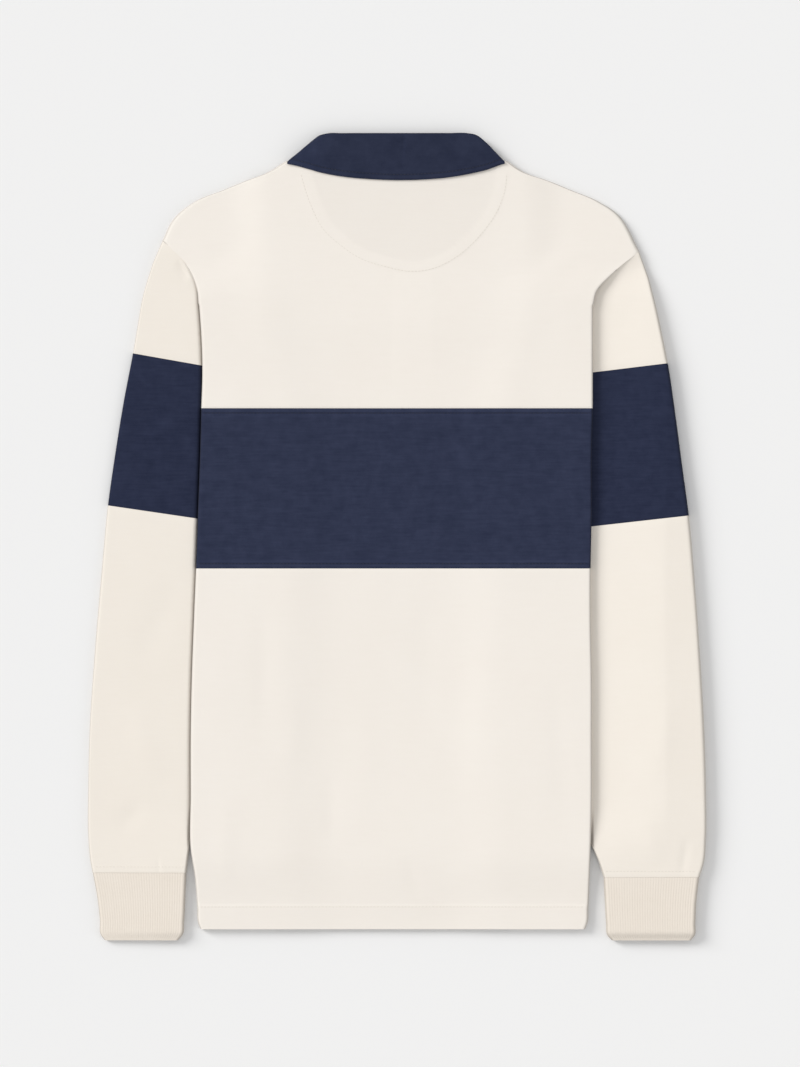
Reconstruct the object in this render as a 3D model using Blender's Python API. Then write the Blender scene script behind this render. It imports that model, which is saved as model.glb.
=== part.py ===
"""Long-sleeve polo shirt, lying face down on a flat surface with its back up.

Frame: +X towards the wearer's right sleeve as seen from above the back, +Y
towards the collar, +Z up.  All tables are in millimetres; y is measured up from
the lowest point of the hem, x from the middle of the hem.  The finished shirt is
moved so that the middle of its underside is the origin.

The body is a tube of two panels.  Its sides are folded under, so each side is
four layers deep: back, front, front, back.  The sleeves leave the armholes and
lie flat on the surface, partly under those folds.
"""
import math

import bpy
import bmesh

MM = 0.001

# ---- driving sizes, millimetres -------------------------------------------
CLOTH = 1.1            # body and sleeve cloth
LAYER_GAP = 0.3        # air between two layers that lie on each other
PITCH = CLOTH + LAYER_GAP
SEAM_GAP = 0.3         # in the plane, between two pieces sewn edge to edge

BAND_TOP = 489.7       # chest band, measured up from the hem
BAND_BOTTOM = 339.2
BODY_TOP = 722.0       # neck seam

FOLD_RADIUS_BACK = 1.5 * PITCH      # centre line of the outer layer at a side fold
FOLD_RADIUS_FRONT = 0.5 * PITCH     # centre line of the inner layer
FOLD_INSET = FOLD_RADIUS_BACK + CLOTH / 2
FOLD_STEPS = 4

PLACKET_X = 16.0       # middle of the front opening as the shirt lies
PLACKET_WIDTH = 36.0
PLACKET_TOP = 640.0
PLACKET_BOTTOM = 508.0
PLACKET_THICK = 1.2
SLIT_WIDTH = 1.0
SLIT_BOTTOM = 515.0

BUTTON_RADIUS = 5.5
BUTTON_THICK = 1.6
BUTTON_YS = (628.0, 578.0, 528.0)

COLLAR_CLOTH = 1.2
COLLAR_GAP = 0.4
COLLAR_PITCH = COLLAR_CLOTH + COLLAR_GAP

# height of the front panel's underside where the placket and the collar's front
# halves lie under it, and what the neck patch adds to the back panel
UNDER_NECK = 3.25
PATCH_CLOTH = 1.0
PATCH_RISE = PATCH_CLOTH + LAYER_GAP

CUFF_CLOTH = 1.3
CUFF_GAP = 0.4
RIB_COUNT = 34         # ribs across one side of a cuff
RIB_HEIGHT = 0.45
SLEEVE_PUFF = 1.8      # how far the upper layer of a sleeve stands off the lower

# ---- tables ---------------------------------------------------------------
# One row for each section across the body, collar end first.
# left/right: the panel's edge; flap: how far the side is folded under, from the
# first row that is
FLAP_WIDTH = 45.0
BODY_ROWS = [
    dict(left=(-104, 722), right=(105, 722)),
    dict(left=(-120, 712), right=(120, 712)),
    dict(left=(-141, 704), right=(143, 704)),
    dict(left=(-163, 695), right=(165, 695)),
    dict(left=(-188, 685), right=(191, 684)),
    dict(left=(-210, 667), right=(214, 666)),
    dict(left=(-220, 647), right=(229, 637)),
    dict(left=(-203, 632), right=(213, 625)),
    dict(left=(-192, 618), right=(199, 613)),
    dict(left=(-186, 601), right=(188, 600)),
    dict(left=(-185, 586), right=(185, 586)),
    dict(left=(-184, 573), right=(185, 573), flap=45),
    dict(left=(-183, 558), right=(185, 558), flap=49),
    dict(left=(-182, 524), right=(185, 524), flap=60),
    dict(left=(-183, BAND_TOP), right=(185, BAND_TOP), flap=69),
    dict(left=(-184, 450), right=(184, 450), flap=75),
    dict(left=(-186, 395), right=(184, 395), flap=76),
    dict(left=(-188, BAND_BOTTOM), right=(183, BAND_BOTTOM), flap=76),
    dict(left=(-190, 290), right=(183, 290), flap=76),
    dict(left=(-192, 235), right=(184, 235), flap=76),
    dict(left=(-193, 180), right=(184, 180), flap=76),
    dict(left=(-193, 125), right=(184, 125), flap=75),
    dict(left=(-193, 76), right=(183, 76), flap=74),
    dict(left=(-189, 48), right=(182, 48), flap=73),
    dict(left=(-187, 21), right=(181, 21), flap=72),
    dict(left=(-186, 5), right=(180, 5), flap=71),
    dict(left=(-184, 0), right=(178, 0), flap=70),
]

# y where the fold starts to lift the side over the sleeve, and where it is fully up
LIFT_START = 588.0
LIFT_FULL = 573.0
# y where the sleeve has left the side, and where the side is down on the surface
LEAVE_START = 72.0
LEAVE_END = 22.0

# Columns between the fold and the middle of the body.
# along: share of the flap's width; past: millimetres beyond the flap's end
SIDE_COLUMNS = [
    dict(along=0.0, past=0), dict(along=0.25, past=0), dict(along=0.5, past=0),
    dict(along=0.75, past=0), dict(along=1.0, past=0), dict(along=1.0, past=4),
    dict(along=1.0, past=16), dict(along=1.0, past=28), dict(along=1.0, past=42),
]
FLAP_SHARES = (0.25, 0.5, 0.75, 1.0)
PAST_FLAP = 4.0        # level strip beyond a flap's end
SIDE_RAMP = 38.0       # width of the slope from the folded side to the middle
MIDDLE_COLUMNS = (52.0, 24.0, 0.0)   # distances of the middle columns from the placket
FOLD_REFERENCE_X = 182.0             # x of a fold at mid height, which sets the columns' shares

# Where the panels lie higher, over the collar's front halves and over the placket.
# half, ramp: half width of the level part and its slope; start, rise: y where the
# slope begins and its length towards the collar
RAISED = {
    "front": dict(neck=dict(half=108.0, ramp=45.0, start=530.0, rise=45.0),
                  placket=dict(half=22.0, ramp=28.0, start=445.0, rise=40.0)),
    "back": dict(neck=dict(half=118.0, ramp=42.0, start=500.0, rise=75.0),
                 placket=dict(half=34.0, ramp=32.0, start=420.0, rise=48.0)),
}

# Front neckline: half width of the opening at each height
NECKLINE = [
    dict(y=722, half=88), dict(y=712, half=86), dict(y=704, half=83),
    dict(y=695, half=79), dict(y=685, half=73), dict(y=667, half=54),
    dict(y=648, half=3),
]

# Half-moon patch inside the back of the neck
PATCH_ROWS = [
    dict(y=716, left=-91, right=104.5), dict(y=695, left=-85.5, right=102.5),
    dict(y=675, left=-78, right=95.5), dict(y=658, left=-69, right=84.5),
    dict(y=642, left=-52, right=70), dict(y=630, left=-34, right=55),
    dict(y=621, left=-6, right=37), dict(y=618, left=8, right=24),
]

# Back of the collar: the fold on top and the leaf's free edge below it
COLLAR_SECTIONS = [
    dict(x=-99, fold=724.4, leaf=718.8), dict(x=-94, fold=728.3, leaf=717.7),
    dict(x=-86.5, fold=734.7, leaf=715.7), dict(x=-79, fold=741, leaf=713.6),
    dict(x=-73, fold=745.6, leaf=711.8), dict(x=-65, fold=748, leaf=710),
    dict(x=-50, fold=748.3, leaf=707.4), dict(x=-25, fold=748.4, leaf=705.1),
    dict(x=0, fold=748.4, leaf=704.1), dict(x=25, fold=748.4, leaf=704.6),
    dict(x=50, fold=748.4, leaf=706.7), dict(x=68, fold=748.2, leaf=709.7),
    dict(x=76, fold=746.4, leaf=711.4), dict(x=85.5, fold=738.8, leaf=713.8),
    dict(x=94, fold=730.1, leaf=716.8), dict(x=99, fold=724.8, leaf=718.7),
]

# Front halves of the collar, from the shoulder to the front opening.
# in_/out: share of the way from the opening to the shoulder, at the fold and at
# the leaf's edge; stand: width of the inner layer
COLLAR_FRONT_ROWS = [
    dict(in_=0.83, in_y=716, out=0.985, out_y=713, stand=28),
    dict(in_=0.75, in_y=698, out=0.97, out_y=682, stand=28),
    dict(in_=0.61, in_y=679, out=0.92, out_y=648, stand=28),
    dict(in_=0.42, in_y=665, out=0.85, out_y=616, stand=24),
    dict(in_=0.22, in_y=657, out=0.78, out_y=592, stand=15),
    dict(in_=0.04, in_y=653, out=0.72, out_y=586, stand=8),
]
COLLAR_CORNER_X = 102.5

# Sleeves, from the armhole to the cuff seam: outer edge and inner (underarm) edge.
# bow: how far the section curves towards the shoulder; seam: a seam lies here;
# armhole: the section follows the edge of the body
SLEEVE_ROWS = {
    "left": [
        dict(outer=(-220, 647), inner=(-185, 586), bow=0, armhole=True),
        dict(outer=(-229, 626), inner=(-185.6, 577), bow=6.0),
        dict(outer=(-238, 596), inner=(-185.2, 568), bow=3.0),
        dict(outer=(-243, 568), inner=(-184.8, 560), bow=1.0),
        dict(outer=(-247.5, 541.5), inner=(-160, 526), bow=0, seam=True),
        dict(outer=(-256, 497), inner=(-134, 474), bow=0),
        dict(outer=(-264, 448), inner=(-118, 424), bow=0),
        dict(outer=(-271, 398.5), inner=(-118, 376), bow=0, seam=True),
        dict(outer=(-277, 335), inner=(-123, 320), bow=0),
        dict(outer=(-283, 265), inner=(-135, 255), bow=0),
        dict(outer=(-288, 190), inner=(-153, 185), bow=0),
        dict(outer=(-289.5, 130), inner=(-172, 128), bow=0),
        dict(outer=(-289.5, 88), inner=(-192, 88), bow=0),
        dict(outer=(-287.5, 64), inner=(-195.5, 66), bow=0),
        dict(outer=(-285.5, 53), inner=(-197, 53), bow=0),
    ],
    "right": [
        dict(outer=(229, 637), inner=(185, 586), bow=0, armhole=True),
        dict(outer=(238, 612), inner=(185.8, 577), bow=6.0),
        dict(outer=(244.5, 586), inner=(185.8, 567), bow=3.0),
        dict(outer=(251, 556), inner=(185.8, 557), bow=1.0),
        dict(outer=(255.7, 532), inner=(163, 521), bow=0, seam=True),
        dict(outer=(262.5, 486), inner=(136, 470), bow=0),
        dict(outer=(269, 437), inner=(120, 420), bow=0),
        dict(outer=(275.4, 389), inner=(116, 371), bow=0, seam=True),
        dict(outer=(281, 325), inner=(121, 315), bow=0),
        dict(outer=(285.5, 262), inner=(131, 255), bow=0),
        dict(outer=(289.5, 195), inner=(146, 190), bow=0),
        dict(outer=(291.5, 130), inner=(163, 128), bow=0),
        dict(outer=(291.5, 85), inner=(182, 82), bow=0),
        dict(outer=(289.5, 62), inner=(191, 62), bow=0),
        dict(outer=(285.5, 49), inner=(195, 49), bow=0),
    ],
}
SLEEVE_COLUMNS = 8
SHOULDER_ROW = 6       # the row of the body where the armhole meets the shoulder
ARMHOLE_ROWS = 5       # rows from there down to the fold
PUFF_CLEAR = 6.0       # flat strip beside the body
PUFF_RAMP = 28.0

# Cuffs: outer and inner edge at each height, counted down from the cuff seam
CUFF_ROWS = {
    "left": [
        dict(y=52.4, outer=-285, inner=-197.6), dict(y=30, outer=-281, inner=-198.2),
        dict(y=8, outer=-278.5, inner=-199.2), dict(y=-6, outer=-277.5, inner=-201),
        dict(y=-10.5, outer=-274, inner=-205),
    ],
    "right": [
        dict(y=48.4, outer=284.8, inner=195.6), dict(y=26, outer=282.5, inner=196.4),
        dict(y=5, outer=281.5, inner=197.6), dict(y=-6, outer=281, inner=198.8),
        dict(y=-10.5, outer=277.5, inner=203),
    ],
}

# ---- materials ------------------------------------------------------------
MATERIALS = {
    "cream_jersey": dict(colour=(0.87, 0.82, 0.74), roughness=0.92),
    "navy_jersey": dict(colour=(0.032, 0.038, 0.072), roughness=0.9),
    "navy_collar": dict(colour=(0.028, 0.033, 0.062), roughness=0.9),
    "cream_rib": dict(colour=(0.80, 0.73, 0.64), roughness=0.94),
    "button": dict(colour=(0.80, 0.76, 0.68), roughness=0.35),
}


def make_material(name):
    """A plain Principled material with the cloth's colour and roughness."""
    settings = MATERIALS[name]
    material = bpy.data.materials.new(name)
    material.use_nodes = True
    shader = material.node_tree.nodes["Principled BSDF"]
    shader.inputs["Base Color"].default_value = (*settings["colour"], 1.0)
    shader.inputs["Roughness"].default_value = settings["roughness"]
    shader.inputs["Metallic"].default_value = 0.0
    return material


# ---- small helpers --------------------------------------------------------
def lerp(a, b, share):
    return a + (b - a) * share


def smooth(share):
    """A soft step: 0 below 0, 1 above 1."""
    share = min(1.0, max(0.0, share))
    return share * share * (3.0 - 2.0 * share)


def plateau(distance, half, ramp):
    """1 within half of the middle, falling softly to 0 over ramp."""
    return 1.0 - smooth((abs(distance) - half) / ramp)


def lookup(table, key, value, at):
    """Straight reading between the rows of a table sorted from high to low key."""
    if at >= table[0][key]:
        return table[0][value]
    for upper, lower in zip(table, table[1:]):
        if at >= lower[key]:
            share = (at - lower[key]) / (upper[key] - lower[key])
            return lerp(lower[value], upper[value], share)
    return table[-1][value]


# ---- heights of the body's layers -----------------------------------------
def side_base(y):
    """Underside of a folded side: on top of the sleeve, or on the surface."""
    return 2 * PITCH * smooth((y - LEAVE_END) / (LEAVE_START - LEAVE_END))


def side_lift(y):
    """0 above the fold, 1 where the side is fully folded under."""
    return smooth((LIFT_START - y) / (LIFT_START - LIFT_FULL))


def side_height(y, flap, from_fold):
    """Rise of a panel over its own folded side, sloping down to the middle."""
    slope = 1.0 - smooth((from_fold - flap - PAST_FLAP) / SIDE_RAMP)
    return side_lift(y) * (side_base(y) + 2 * PITCH) * slope


def raised_share(panel, place, middle, x, y):
    """How far a panel is up over the neck's or the placket's layers, 0 to 1."""
    zone = RAISED[panel][place]
    return plateau(x - middle, zone["half"], zone["ramp"]) * smooth((y - zone["start"]) / zone["rise"])


def front_height(x, y, flap, from_fold):
    """Underside of the front panel above the surface it lies on."""
    neck = raised_share("front", "neck", 0.0, x, y)
    placket = raised_share("front", "placket", PLACKET_X, x, y)
    return max(side_height(y, flap, from_fold), UNDER_NECK * max(neck, placket))


def back_height(x, y, flap, from_fold):
    """Underside of the back panel, one layer above the front and over the patch."""
    neck = raised_share("back", "neck", 0.0, x, y)
    placket = raised_share("back", "placket", PLACKET_X, x, y)
    raised = max((UNDER_NECK + PATCH_RISE) * neck, UNDER_NECK * placket)
    return PITCH + max(side_height(y, flap, from_fold), raised)


# ---- mesh building --------------------------------------------------------
def grid_wall(name, outer, inner, present=None, ring=False):
    """A closed wall between two grids of points, with any absent cells left out.

    outer and inner are rows of points of the same shape.  present(i, j) says
    whether the cell below row i and right of column j is cloth.  A ring's last
    column meets its first again.
    """
    rows = len(outer)
    columns = len(outer[0])
    cells_across = columns if ring else columns - 1
    mesh = bmesh.new()
    made = {}

    def vertex(side, i, j):
        key = (side, i, j % columns)
        if key not in made:
            grid = outer if side else inner
            x, y, z = grid[i][j % columns]
            made[key] = mesh.verts.new((x * MM, y * MM, z * MM))
        return made[key]

    def cell_there(i, j):
        if ring:
            j = j % columns
        if not (0 <= i < rows - 1 and 0 <= j < cells_across):
            return False
        return present is None or present(i, j)

    for i in range(rows - 1):
        for j in range(cells_across):
            if not cell_there(i, j):
                continue
            corners = [(i, j), (i + 1, j), (i + 1, j + 1), (i, j + 1)]
            for half in ((0, 1, 2), (0, 2, 3)):
                mesh.faces.new([vertex(True, *corners[k]) for k in half])
                mesh.faces.new([vertex(False, *corners[k]) for k in reversed(half)])
            neighbours = [(i, j - 1), (i + 1, j), (i, j + 1), (i - 1, j)]
            for k, neighbour in enumerate(neighbours):
                if cell_there(*neighbour):
                    continue
                start, end = corners[k], corners[(k + 1) % 4]
                mesh.faces.new([vertex(True, *end), vertex(True, *start),
                                vertex(False, *start), vertex(False, *end)])
    bmesh.ops.recalc_face_normals(mesh, faces=mesh.faces)
    data = bpy.data.meshes.new(name)
    mesh.to_mesh(data)
    mesh.free()
    data.shade_smooth()
    data.set_sharp_from_angle(angle=math.radians(40.0))
    return data


def add_object(name, data, material, collection):
    node = bpy.data.objects.new(name, data)
    node.data.materials.append(material)
    collection.objects.link(node)
    return node


# ---- body panels ----------------------------------------------------------
def row_y(row, x):
    """Height of a slightly tilted row at a given x."""
    (left_x, left_y), (right_x, right_y) = row["left"], row["right"]
    return lerp(left_y, right_y, (x - left_x) / (right_x - left_x))


def column_offsets(row):
    """Distances of the side columns from the fold."""
    flap = row.get("flap", FLAP_WIDTH)
    return [column["along"] * flap + column["past"] for column in SIDE_COLUMNS]


def main_columns(row, is_front):
    """The x of every column of a panel, left to right, and each one's fold distance."""
    inset = FOLD_INSET * side_lift(min(row["left"][1], row["right"][1]))
    offsets = column_offsets(row)
    columns = []
    for side, corner in ((-1, row["left"]), (1, row["right"])):
        edge = corner[0] - side * inset
        middle = PLACKET_X + side * SLIT_WIDTH / 2
        start = middle
        if is_front and corner[1] > NECKLINE[-1]["y"]:
            start = side * lookup(NECKLINE, "y", "half", corner[1])
        reach = abs(FOLD_REFERENCE_X - PLACKET_X * side)
        shares = [1.0 - offset / reach for offset in offsets]
        shares += [distance / reach for distance in MIDDLE_COLUMNS]
        half = []
        for share, offset in zip(shares, offsets + [None] * len(MIDDLE_COLUMNS)):
            x = lerp(start, edge, share)
            if "flap" in row and offset is not None:
                x = edge - side * offset
            half.append((x, abs(edge - x)))
        columns.append(half)
    left, right = columns
    return left + list(reversed(right))


def body_section(row, is_front):
    """Centre line of one panel at one row: x, y, z and the outward direction."""
    flap = row.get("flap", FLAP_WIDTH)
    height = front_height if is_front else back_height
    radius = FOLD_RADIUS_FRONT if is_front else FOLD_RADIUS_BACK
    points = []
    for x, from_fold in main_columns(row, is_front):
        y = row_y(row, x)
        z = height(x, y, flap, from_fold) + CLOTH / 2
        points.append((x, y, z, 0.0, 1.0))
    ends = []
    for side, (x, y, z, _, _) in ((-1, points[0]), (1, points[-1])):
        centre_z = z - radius
        turned = []
        for step in range(1, FOLD_STEPS + 1):
            angle = math.pi * step / FOLD_STEPS
            out_x, out_z = side * math.sin(angle), math.cos(angle)
            turned.append((x + radius * out_x, y, centre_z + radius * out_z, out_x, out_z))
        for share in FLAP_SHARES:
            turned.append((x - side * flap * share, y, centre_z - radius, 0.0, -1.0))
        ends.append(turned)
    return list(reversed(ends[0])) + points + ends[1]


def body_panel(name, is_front, top, bottom, material, collection):
    """One panel between two seams, with its folded sides where it has them."""
    rows = [row for row in BODY_ROWS if bottom <= row["left"][1] <= top]
    sections = [body_section(row, is_front) for row in rows]
    side_count = FOLD_STEPS + len(FLAP_SHARES)
    last_main = len(sections[0]) - side_count - 1
    slit_column = side_count + len(SIDE_COLUMNS) + len(MIDDLE_COLUMNS) - 1

    outer, inner = [], []
    for index, section in enumerate(sections):
        shift = 0.0
        if index == 0 and top < BODY_TOP:
            shift = -SEAM_GAP / 2
        if index == len(sections) - 1 and bottom > 0:
            shift = SEAM_GAP / 2
        outer.append([(x + nx * CLOTH / 2, y + shift, z + nz * CLOTH / 2)
                      for x, y, z, nx, nz in section])
        inner.append([(x - nx * CLOTH / 2, y + shift, z - nz * CLOTH / 2)
                      for x, y, z, nx, nz in section])

    def present(i, j):
        folded = j < side_count or j >= last_main
        if folded and "flap" not in rows[i]:
            return False
        in_slit = is_front and j == slit_column and rows[i + 1]["left"][1] >= SLIT_BOTTOM
        return not in_slit

    return add_object(name, grid_wall(name, outer, inner, present), material, collection)


# ---- other pieces ---------------------------------------------------------
def flat_strip(name, rows, bottom, thickness, material, collection, across=6):
    """A flat piece between a left and a right edge, lying at one height."""
    outer, inner = [], []
    for row in rows:
        xs = [lerp(row["left"], row["right"], k / across) for k in range(across + 1)]
        outer.append([(x, row["y"], bottom + thickness) for x in xs])
        inner.append([(x, row["y"], bottom) for x in xs])
    return add_object(name, grid_wall(name, outer, inner), material, collection)


def folded_collar_section(fold, leaf, stand, low_z, leaf_on_top):
    """Centre line of a folded collar: leaf edge, round the fold, to the stand edge.

    fold, leaf and stand are (x, y) of the fold and of the two free edges.
    """
    radius = COLLAR_PITCH / 2
    middle_z = low_z + COLLAR_CLOTH / 2 + radius
    up = 1 if leaf_on_top else -1
    length = math.hypot(leaf[0] - fold[0], leaf[1] - fold[1])
    away = ((leaf[0] - fold[0]) / length, (leaf[1] - fold[1]) / length)
    reach = radius + COLLAR_CLOTH / 2
    centre = (fold[0] + away[0] * reach, fold[1] + away[1] * reach)
    points = []
    for share in (0.0, 0.5, 1.0):
        x, y = lerp(leaf[0], centre[0], share), lerp(leaf[1], centre[1], share)
        points.append((x, y, middle_z + up * radius, 0.0, 0.0, float(up)))
    for step in range(1, FOLD_STEPS):
        angle = math.pi * step / FOLD_STEPS
        out, rise = math.sin(angle), up * math.cos(angle)
        points.append((centre[0] - away[0] * radius * out, centre[1] - away[1] * radius * out,
                       middle_z + radius * rise, -away[0] * out, -away[1] * out, rise))
    for share in (0.0, 0.5, 1.0):
        x, y = lerp(centre[0], stand[0], share), lerp(centre[1], stand[1], share)
        points.append((x, y, middle_z - up * radius, 0.0, 0.0, -float(up)))
    return points


def offset_rows(sections, thickness):
    """Outer and inner grids, half a thickness to each side of a centre line."""
    outer, inner = [], []
    for section in sections:
        outer.append([(x + nx * thickness / 2, y + ny * thickness / 2, z + nz * thickness / 2)
                      for x, y, z, nx, ny, nz in section])
        inner.append([(x - nx * thickness / 2, y - ny * thickness / 2, z - nz * thickness / 2)
                      for x, y, z, nx, ny, nz in section])
    return outer, inner


def collar_back(material, collection):
    """The collar behind the neck, its leaf folded down over the back panel."""
    low_z = PITCH + UNDER_NECK + PATCH_RISE
    sections = []
    for row in COLLAR_SECTIONS:
        fold, leaf = (row["x"], row["fold"]), (row["x"], row["leaf"])
        stand = (row["x"], BODY_TOP + SEAM_GAP)
        sections.append(folded_collar_section(fold, leaf, stand, low_z, True))
    outer, inner = offset_rows(sections, COLLAR_CLOTH)
    return add_object("collar", grid_wall("collar", outer, inner), material, collection)


def collar_front(side_name, side, material, collection):
    """One front half of the collar, lying under the front panel."""
    opening = PLACKET_X + side * 1.0
    corner = side * COLLAR_CORNER_X
    sections = []
    for row in COLLAR_FRONT_ROWS:
        fold = (lerp(opening, corner, row["in_"]), row["in_y"])
        leaf = (lerp(opening, corner, row["out"]), row["out_y"])
        length = math.hypot(leaf[0] - fold[0], leaf[1] - fold[1])
        share = min(0.94, row["stand"] / length)
        stand = (lerp(fold[0], leaf[0], share), lerp(fold[1], leaf[1], share))
        sections.append(folded_collar_section(fold, leaf, stand, 0.0, False))
    outer, inner = offset_rows(sections, COLLAR_CLOTH)
    name = "collar_front_" + side_name
    return add_object(name, grid_wall(name, outer, inner), material, collection)


def button(index, y, material, collection):
    """A plain button on the placket, lying on the surface."""
    bpy.ops.mesh.primitive_cylinder_add(
        vertices=20, radius=BUTTON_RADIUS * MM, depth=BUTTON_THICK * MM,
        location=(PLACKET_X * MM, y * MM, BUTTON_THICK * MM / 2))
    node = bpy.context.object
    node.name = "button_%d" % index
    node.data.materials.append(material)
    for owner in list(node.users_collection):
        owner.objects.unlink(node)
    collection.objects.link(node)
    return node


# ---- sleeves and cuffs ----------------------------------------------------
def bowed_path(start, end, bow):
    """A path from start to end that bends towards the collar by bow at its middle."""
    length = math.hypot(end[0] - start[0], end[1] - start[1])
    across = (abs(end[0] - start[0]) / length, abs(end[1] - start[1]) / length)
    inwards = -1.0 if end[0] > 0 else 1.0

    def path(share):
        bend = bow * 4.0 * share * (1.0 - share)
        return (lerp(start[0], end[0], share) + inwards * across[1] * bend,
                lerp(start[1], end[1], share) + across[0] * bend)
    return path, length


def polyline_path(points):
    """A path along straight stretches, by share of its length."""
    lengths = [math.dist(a, b) for a, b in zip(points, points[1:])]
    total = sum(lengths)

    def path(share):
        left = share * total
        for (a, b), length in zip(zip(points, points[1:]), lengths):
            if left <= length or b is points[-1]:
                return (lerp(a[0], b[0], left / length), lerp(a[1], b[1], left / length))
            left -= length
    return path, total


def ring_section(path_and_length, layer, gap, across, puff=None):
    """Centre line of a flattened tube: under layer, outer fold, upper layer, inner fold.

    The path runs from the tube's inner edge to its outer edge.
    """
    path, length = path_and_length
    radius = (layer + gap) / 2
    inset = (radius + layer / 2) / length
    middle_z = layer / 2 + radius
    shares = [lerp(inset, 1.0 - inset, k / across) for k in range(across + 1)]
    points = [(*path(share), middle_z - radius, 0.0, 0.0, -1.0) for share in shares]
    for end_share, past_share in ((shares[-1], 1.0), (shares[0], 0.0)):
        base, tip = path(end_share), path(past_share)
        reach = math.dist(base, tip)
        out = ((tip[0] - base[0]) / reach, (tip[1] - base[1]) / reach)
        rising = 1.0 if past_share else -1.0
        for step in range(1, FOLD_STEPS):
            angle = math.pi * step / FOLD_STEPS
            sideways, rise = math.sin(angle), -rising * math.cos(angle)
            points.append((base[0] + out[0] * radius * sideways,
                           base[1] + out[1] * radius * sideways,
                           middle_z + radius * rise,
                           out[0] * sideways, out[1] * sideways, rise))
        if past_share:
            for share in reversed(shares):
                x, y = path(share)
                lift = puff(x) if puff else 0.0
                points.append((x, y, middle_z + radius + lift, 0.0, 0.0, 1.0))
    return points


def edge_table(side):
    """The body's edge on one side as y and x, from the armhole down."""
    key = "left" if side < 0 else "right"
    return [dict(y=row[key][1], x=row[key][0]) for row in BODY_ROWS[SHOULDER_ROW:]]


def armhole_path(side):
    """The visible armhole seam, from the fold up to the shoulder."""
    points = [(row["x"] + side * SEAM_GAP, row["y"] - SEAM_GAP) for row in edge_table(side)]
    return polyline_path(list(reversed(points[:ARMHOLE_ROWS])))


def sleeve_puff(side, y, outer_x):
    """How far the upper layer stands up: only between the body and the outer edge."""
    body_edge = lookup(edge_table(side), "y", "x", y)

    def puff(x):
        from_body = abs(x) - abs(body_edge) - PUFF_CLEAR
        from_outer = abs(outer_x) - abs(x)
        return SLEEVE_PUFF * smooth(from_body / PUFF_RAMP) * smooth(from_outer / PUFF_RAMP)
    return puff


def sleeve_piece(name, side_name, first, last, material, collection):
    """One stretch of a sleeve between two seams."""
    side = -1 if side_name == "left" else 1
    rows = SLEEVE_ROWS[side_name]
    sections = []
    for index in range(first, last + 1):
        row = rows[index]
        shift = 0.0
        if index == first and row.get("seam"):
            shift = -SEAM_GAP / 2
        if index == last and row.get("seam"):
            shift = SEAM_GAP / 2
        outer = (row["outer"][0], row["outer"][1] + shift)
        inner = (row["inner"][0], row["inner"][1] + shift)
        path = armhole_path(side) if row.get("armhole") else bowed_path(inner, outer, row["bow"])
        puff = sleeve_puff(side, (outer[1] + inner[1]) / 2, outer[0])
        sections.append(ring_section(path, CLOTH, LAYER_GAP, SLEEVE_COLUMNS, puff))
    outer_grid, inner_grid = offset_rows(sections, CLOTH)
    return add_object(name, grid_wall(name, outer_grid, inner_grid, ring=True), material, collection)


def cuff(side_name, material, collection):
    """A flattened rib cuff: ribs stand on its upper side, its underside is flat."""
    sections = []
    for row in CUFF_ROWS[side_name]:
        path = bowed_path((row["inner"], row["y"]), (row["outer"], row["y"]), 0.0)
        sections.append(ring_section(path, CUFF_CLOTH, CUFF_GAP, 2 * RIB_COUNT))
    outer_grid, inner_grid = offset_rows(sections, CUFF_CLOTH)
    under = 2 * RIB_COUNT + 1
    first_top = under + FOLD_STEPS - 1
    keep = [j for j in range(len(outer_grid[0])) if j >= under or j % (RIB_COUNT // 2) == 0]
    for line in outer_grid:
        for k in range(1, 2 * RIB_COUNT, 2):
            x, y, z = line[first_top + k]
            line[first_top + k] = (x, y, z + RIB_HEIGHT)
    outer_grid = [[line[j] for j in keep] for line in outer_grid]
    inner_grid = [[line[j] for j in keep] for line in inner_grid]
    name = "cuff_" + side_name
    return add_object(name, grid_wall(name, outer_grid, inner_grid, ring=True), material, collection)


# ---- the shirt ------------------------------------------------------------
def centre_on_underside(nodes):
    """Move the meshes so that the origin is the middle of the underside's box."""
    corners = [node.matrix_world @ vertex.co for node in nodes for vertex in node.data.vertices]
    middle_x = (min(c.x for c in corners) + max(c.x for c in corners)) / 2
    middle_y = (min(c.y for c in corners) + max(c.y for c in corners)) / 2
    lowest = min(c.z for c in corners)
    for node in nodes:
        node.location.x -= middle_x
        node.location.y -= middle_y
        node.location.z -= lowest


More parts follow.
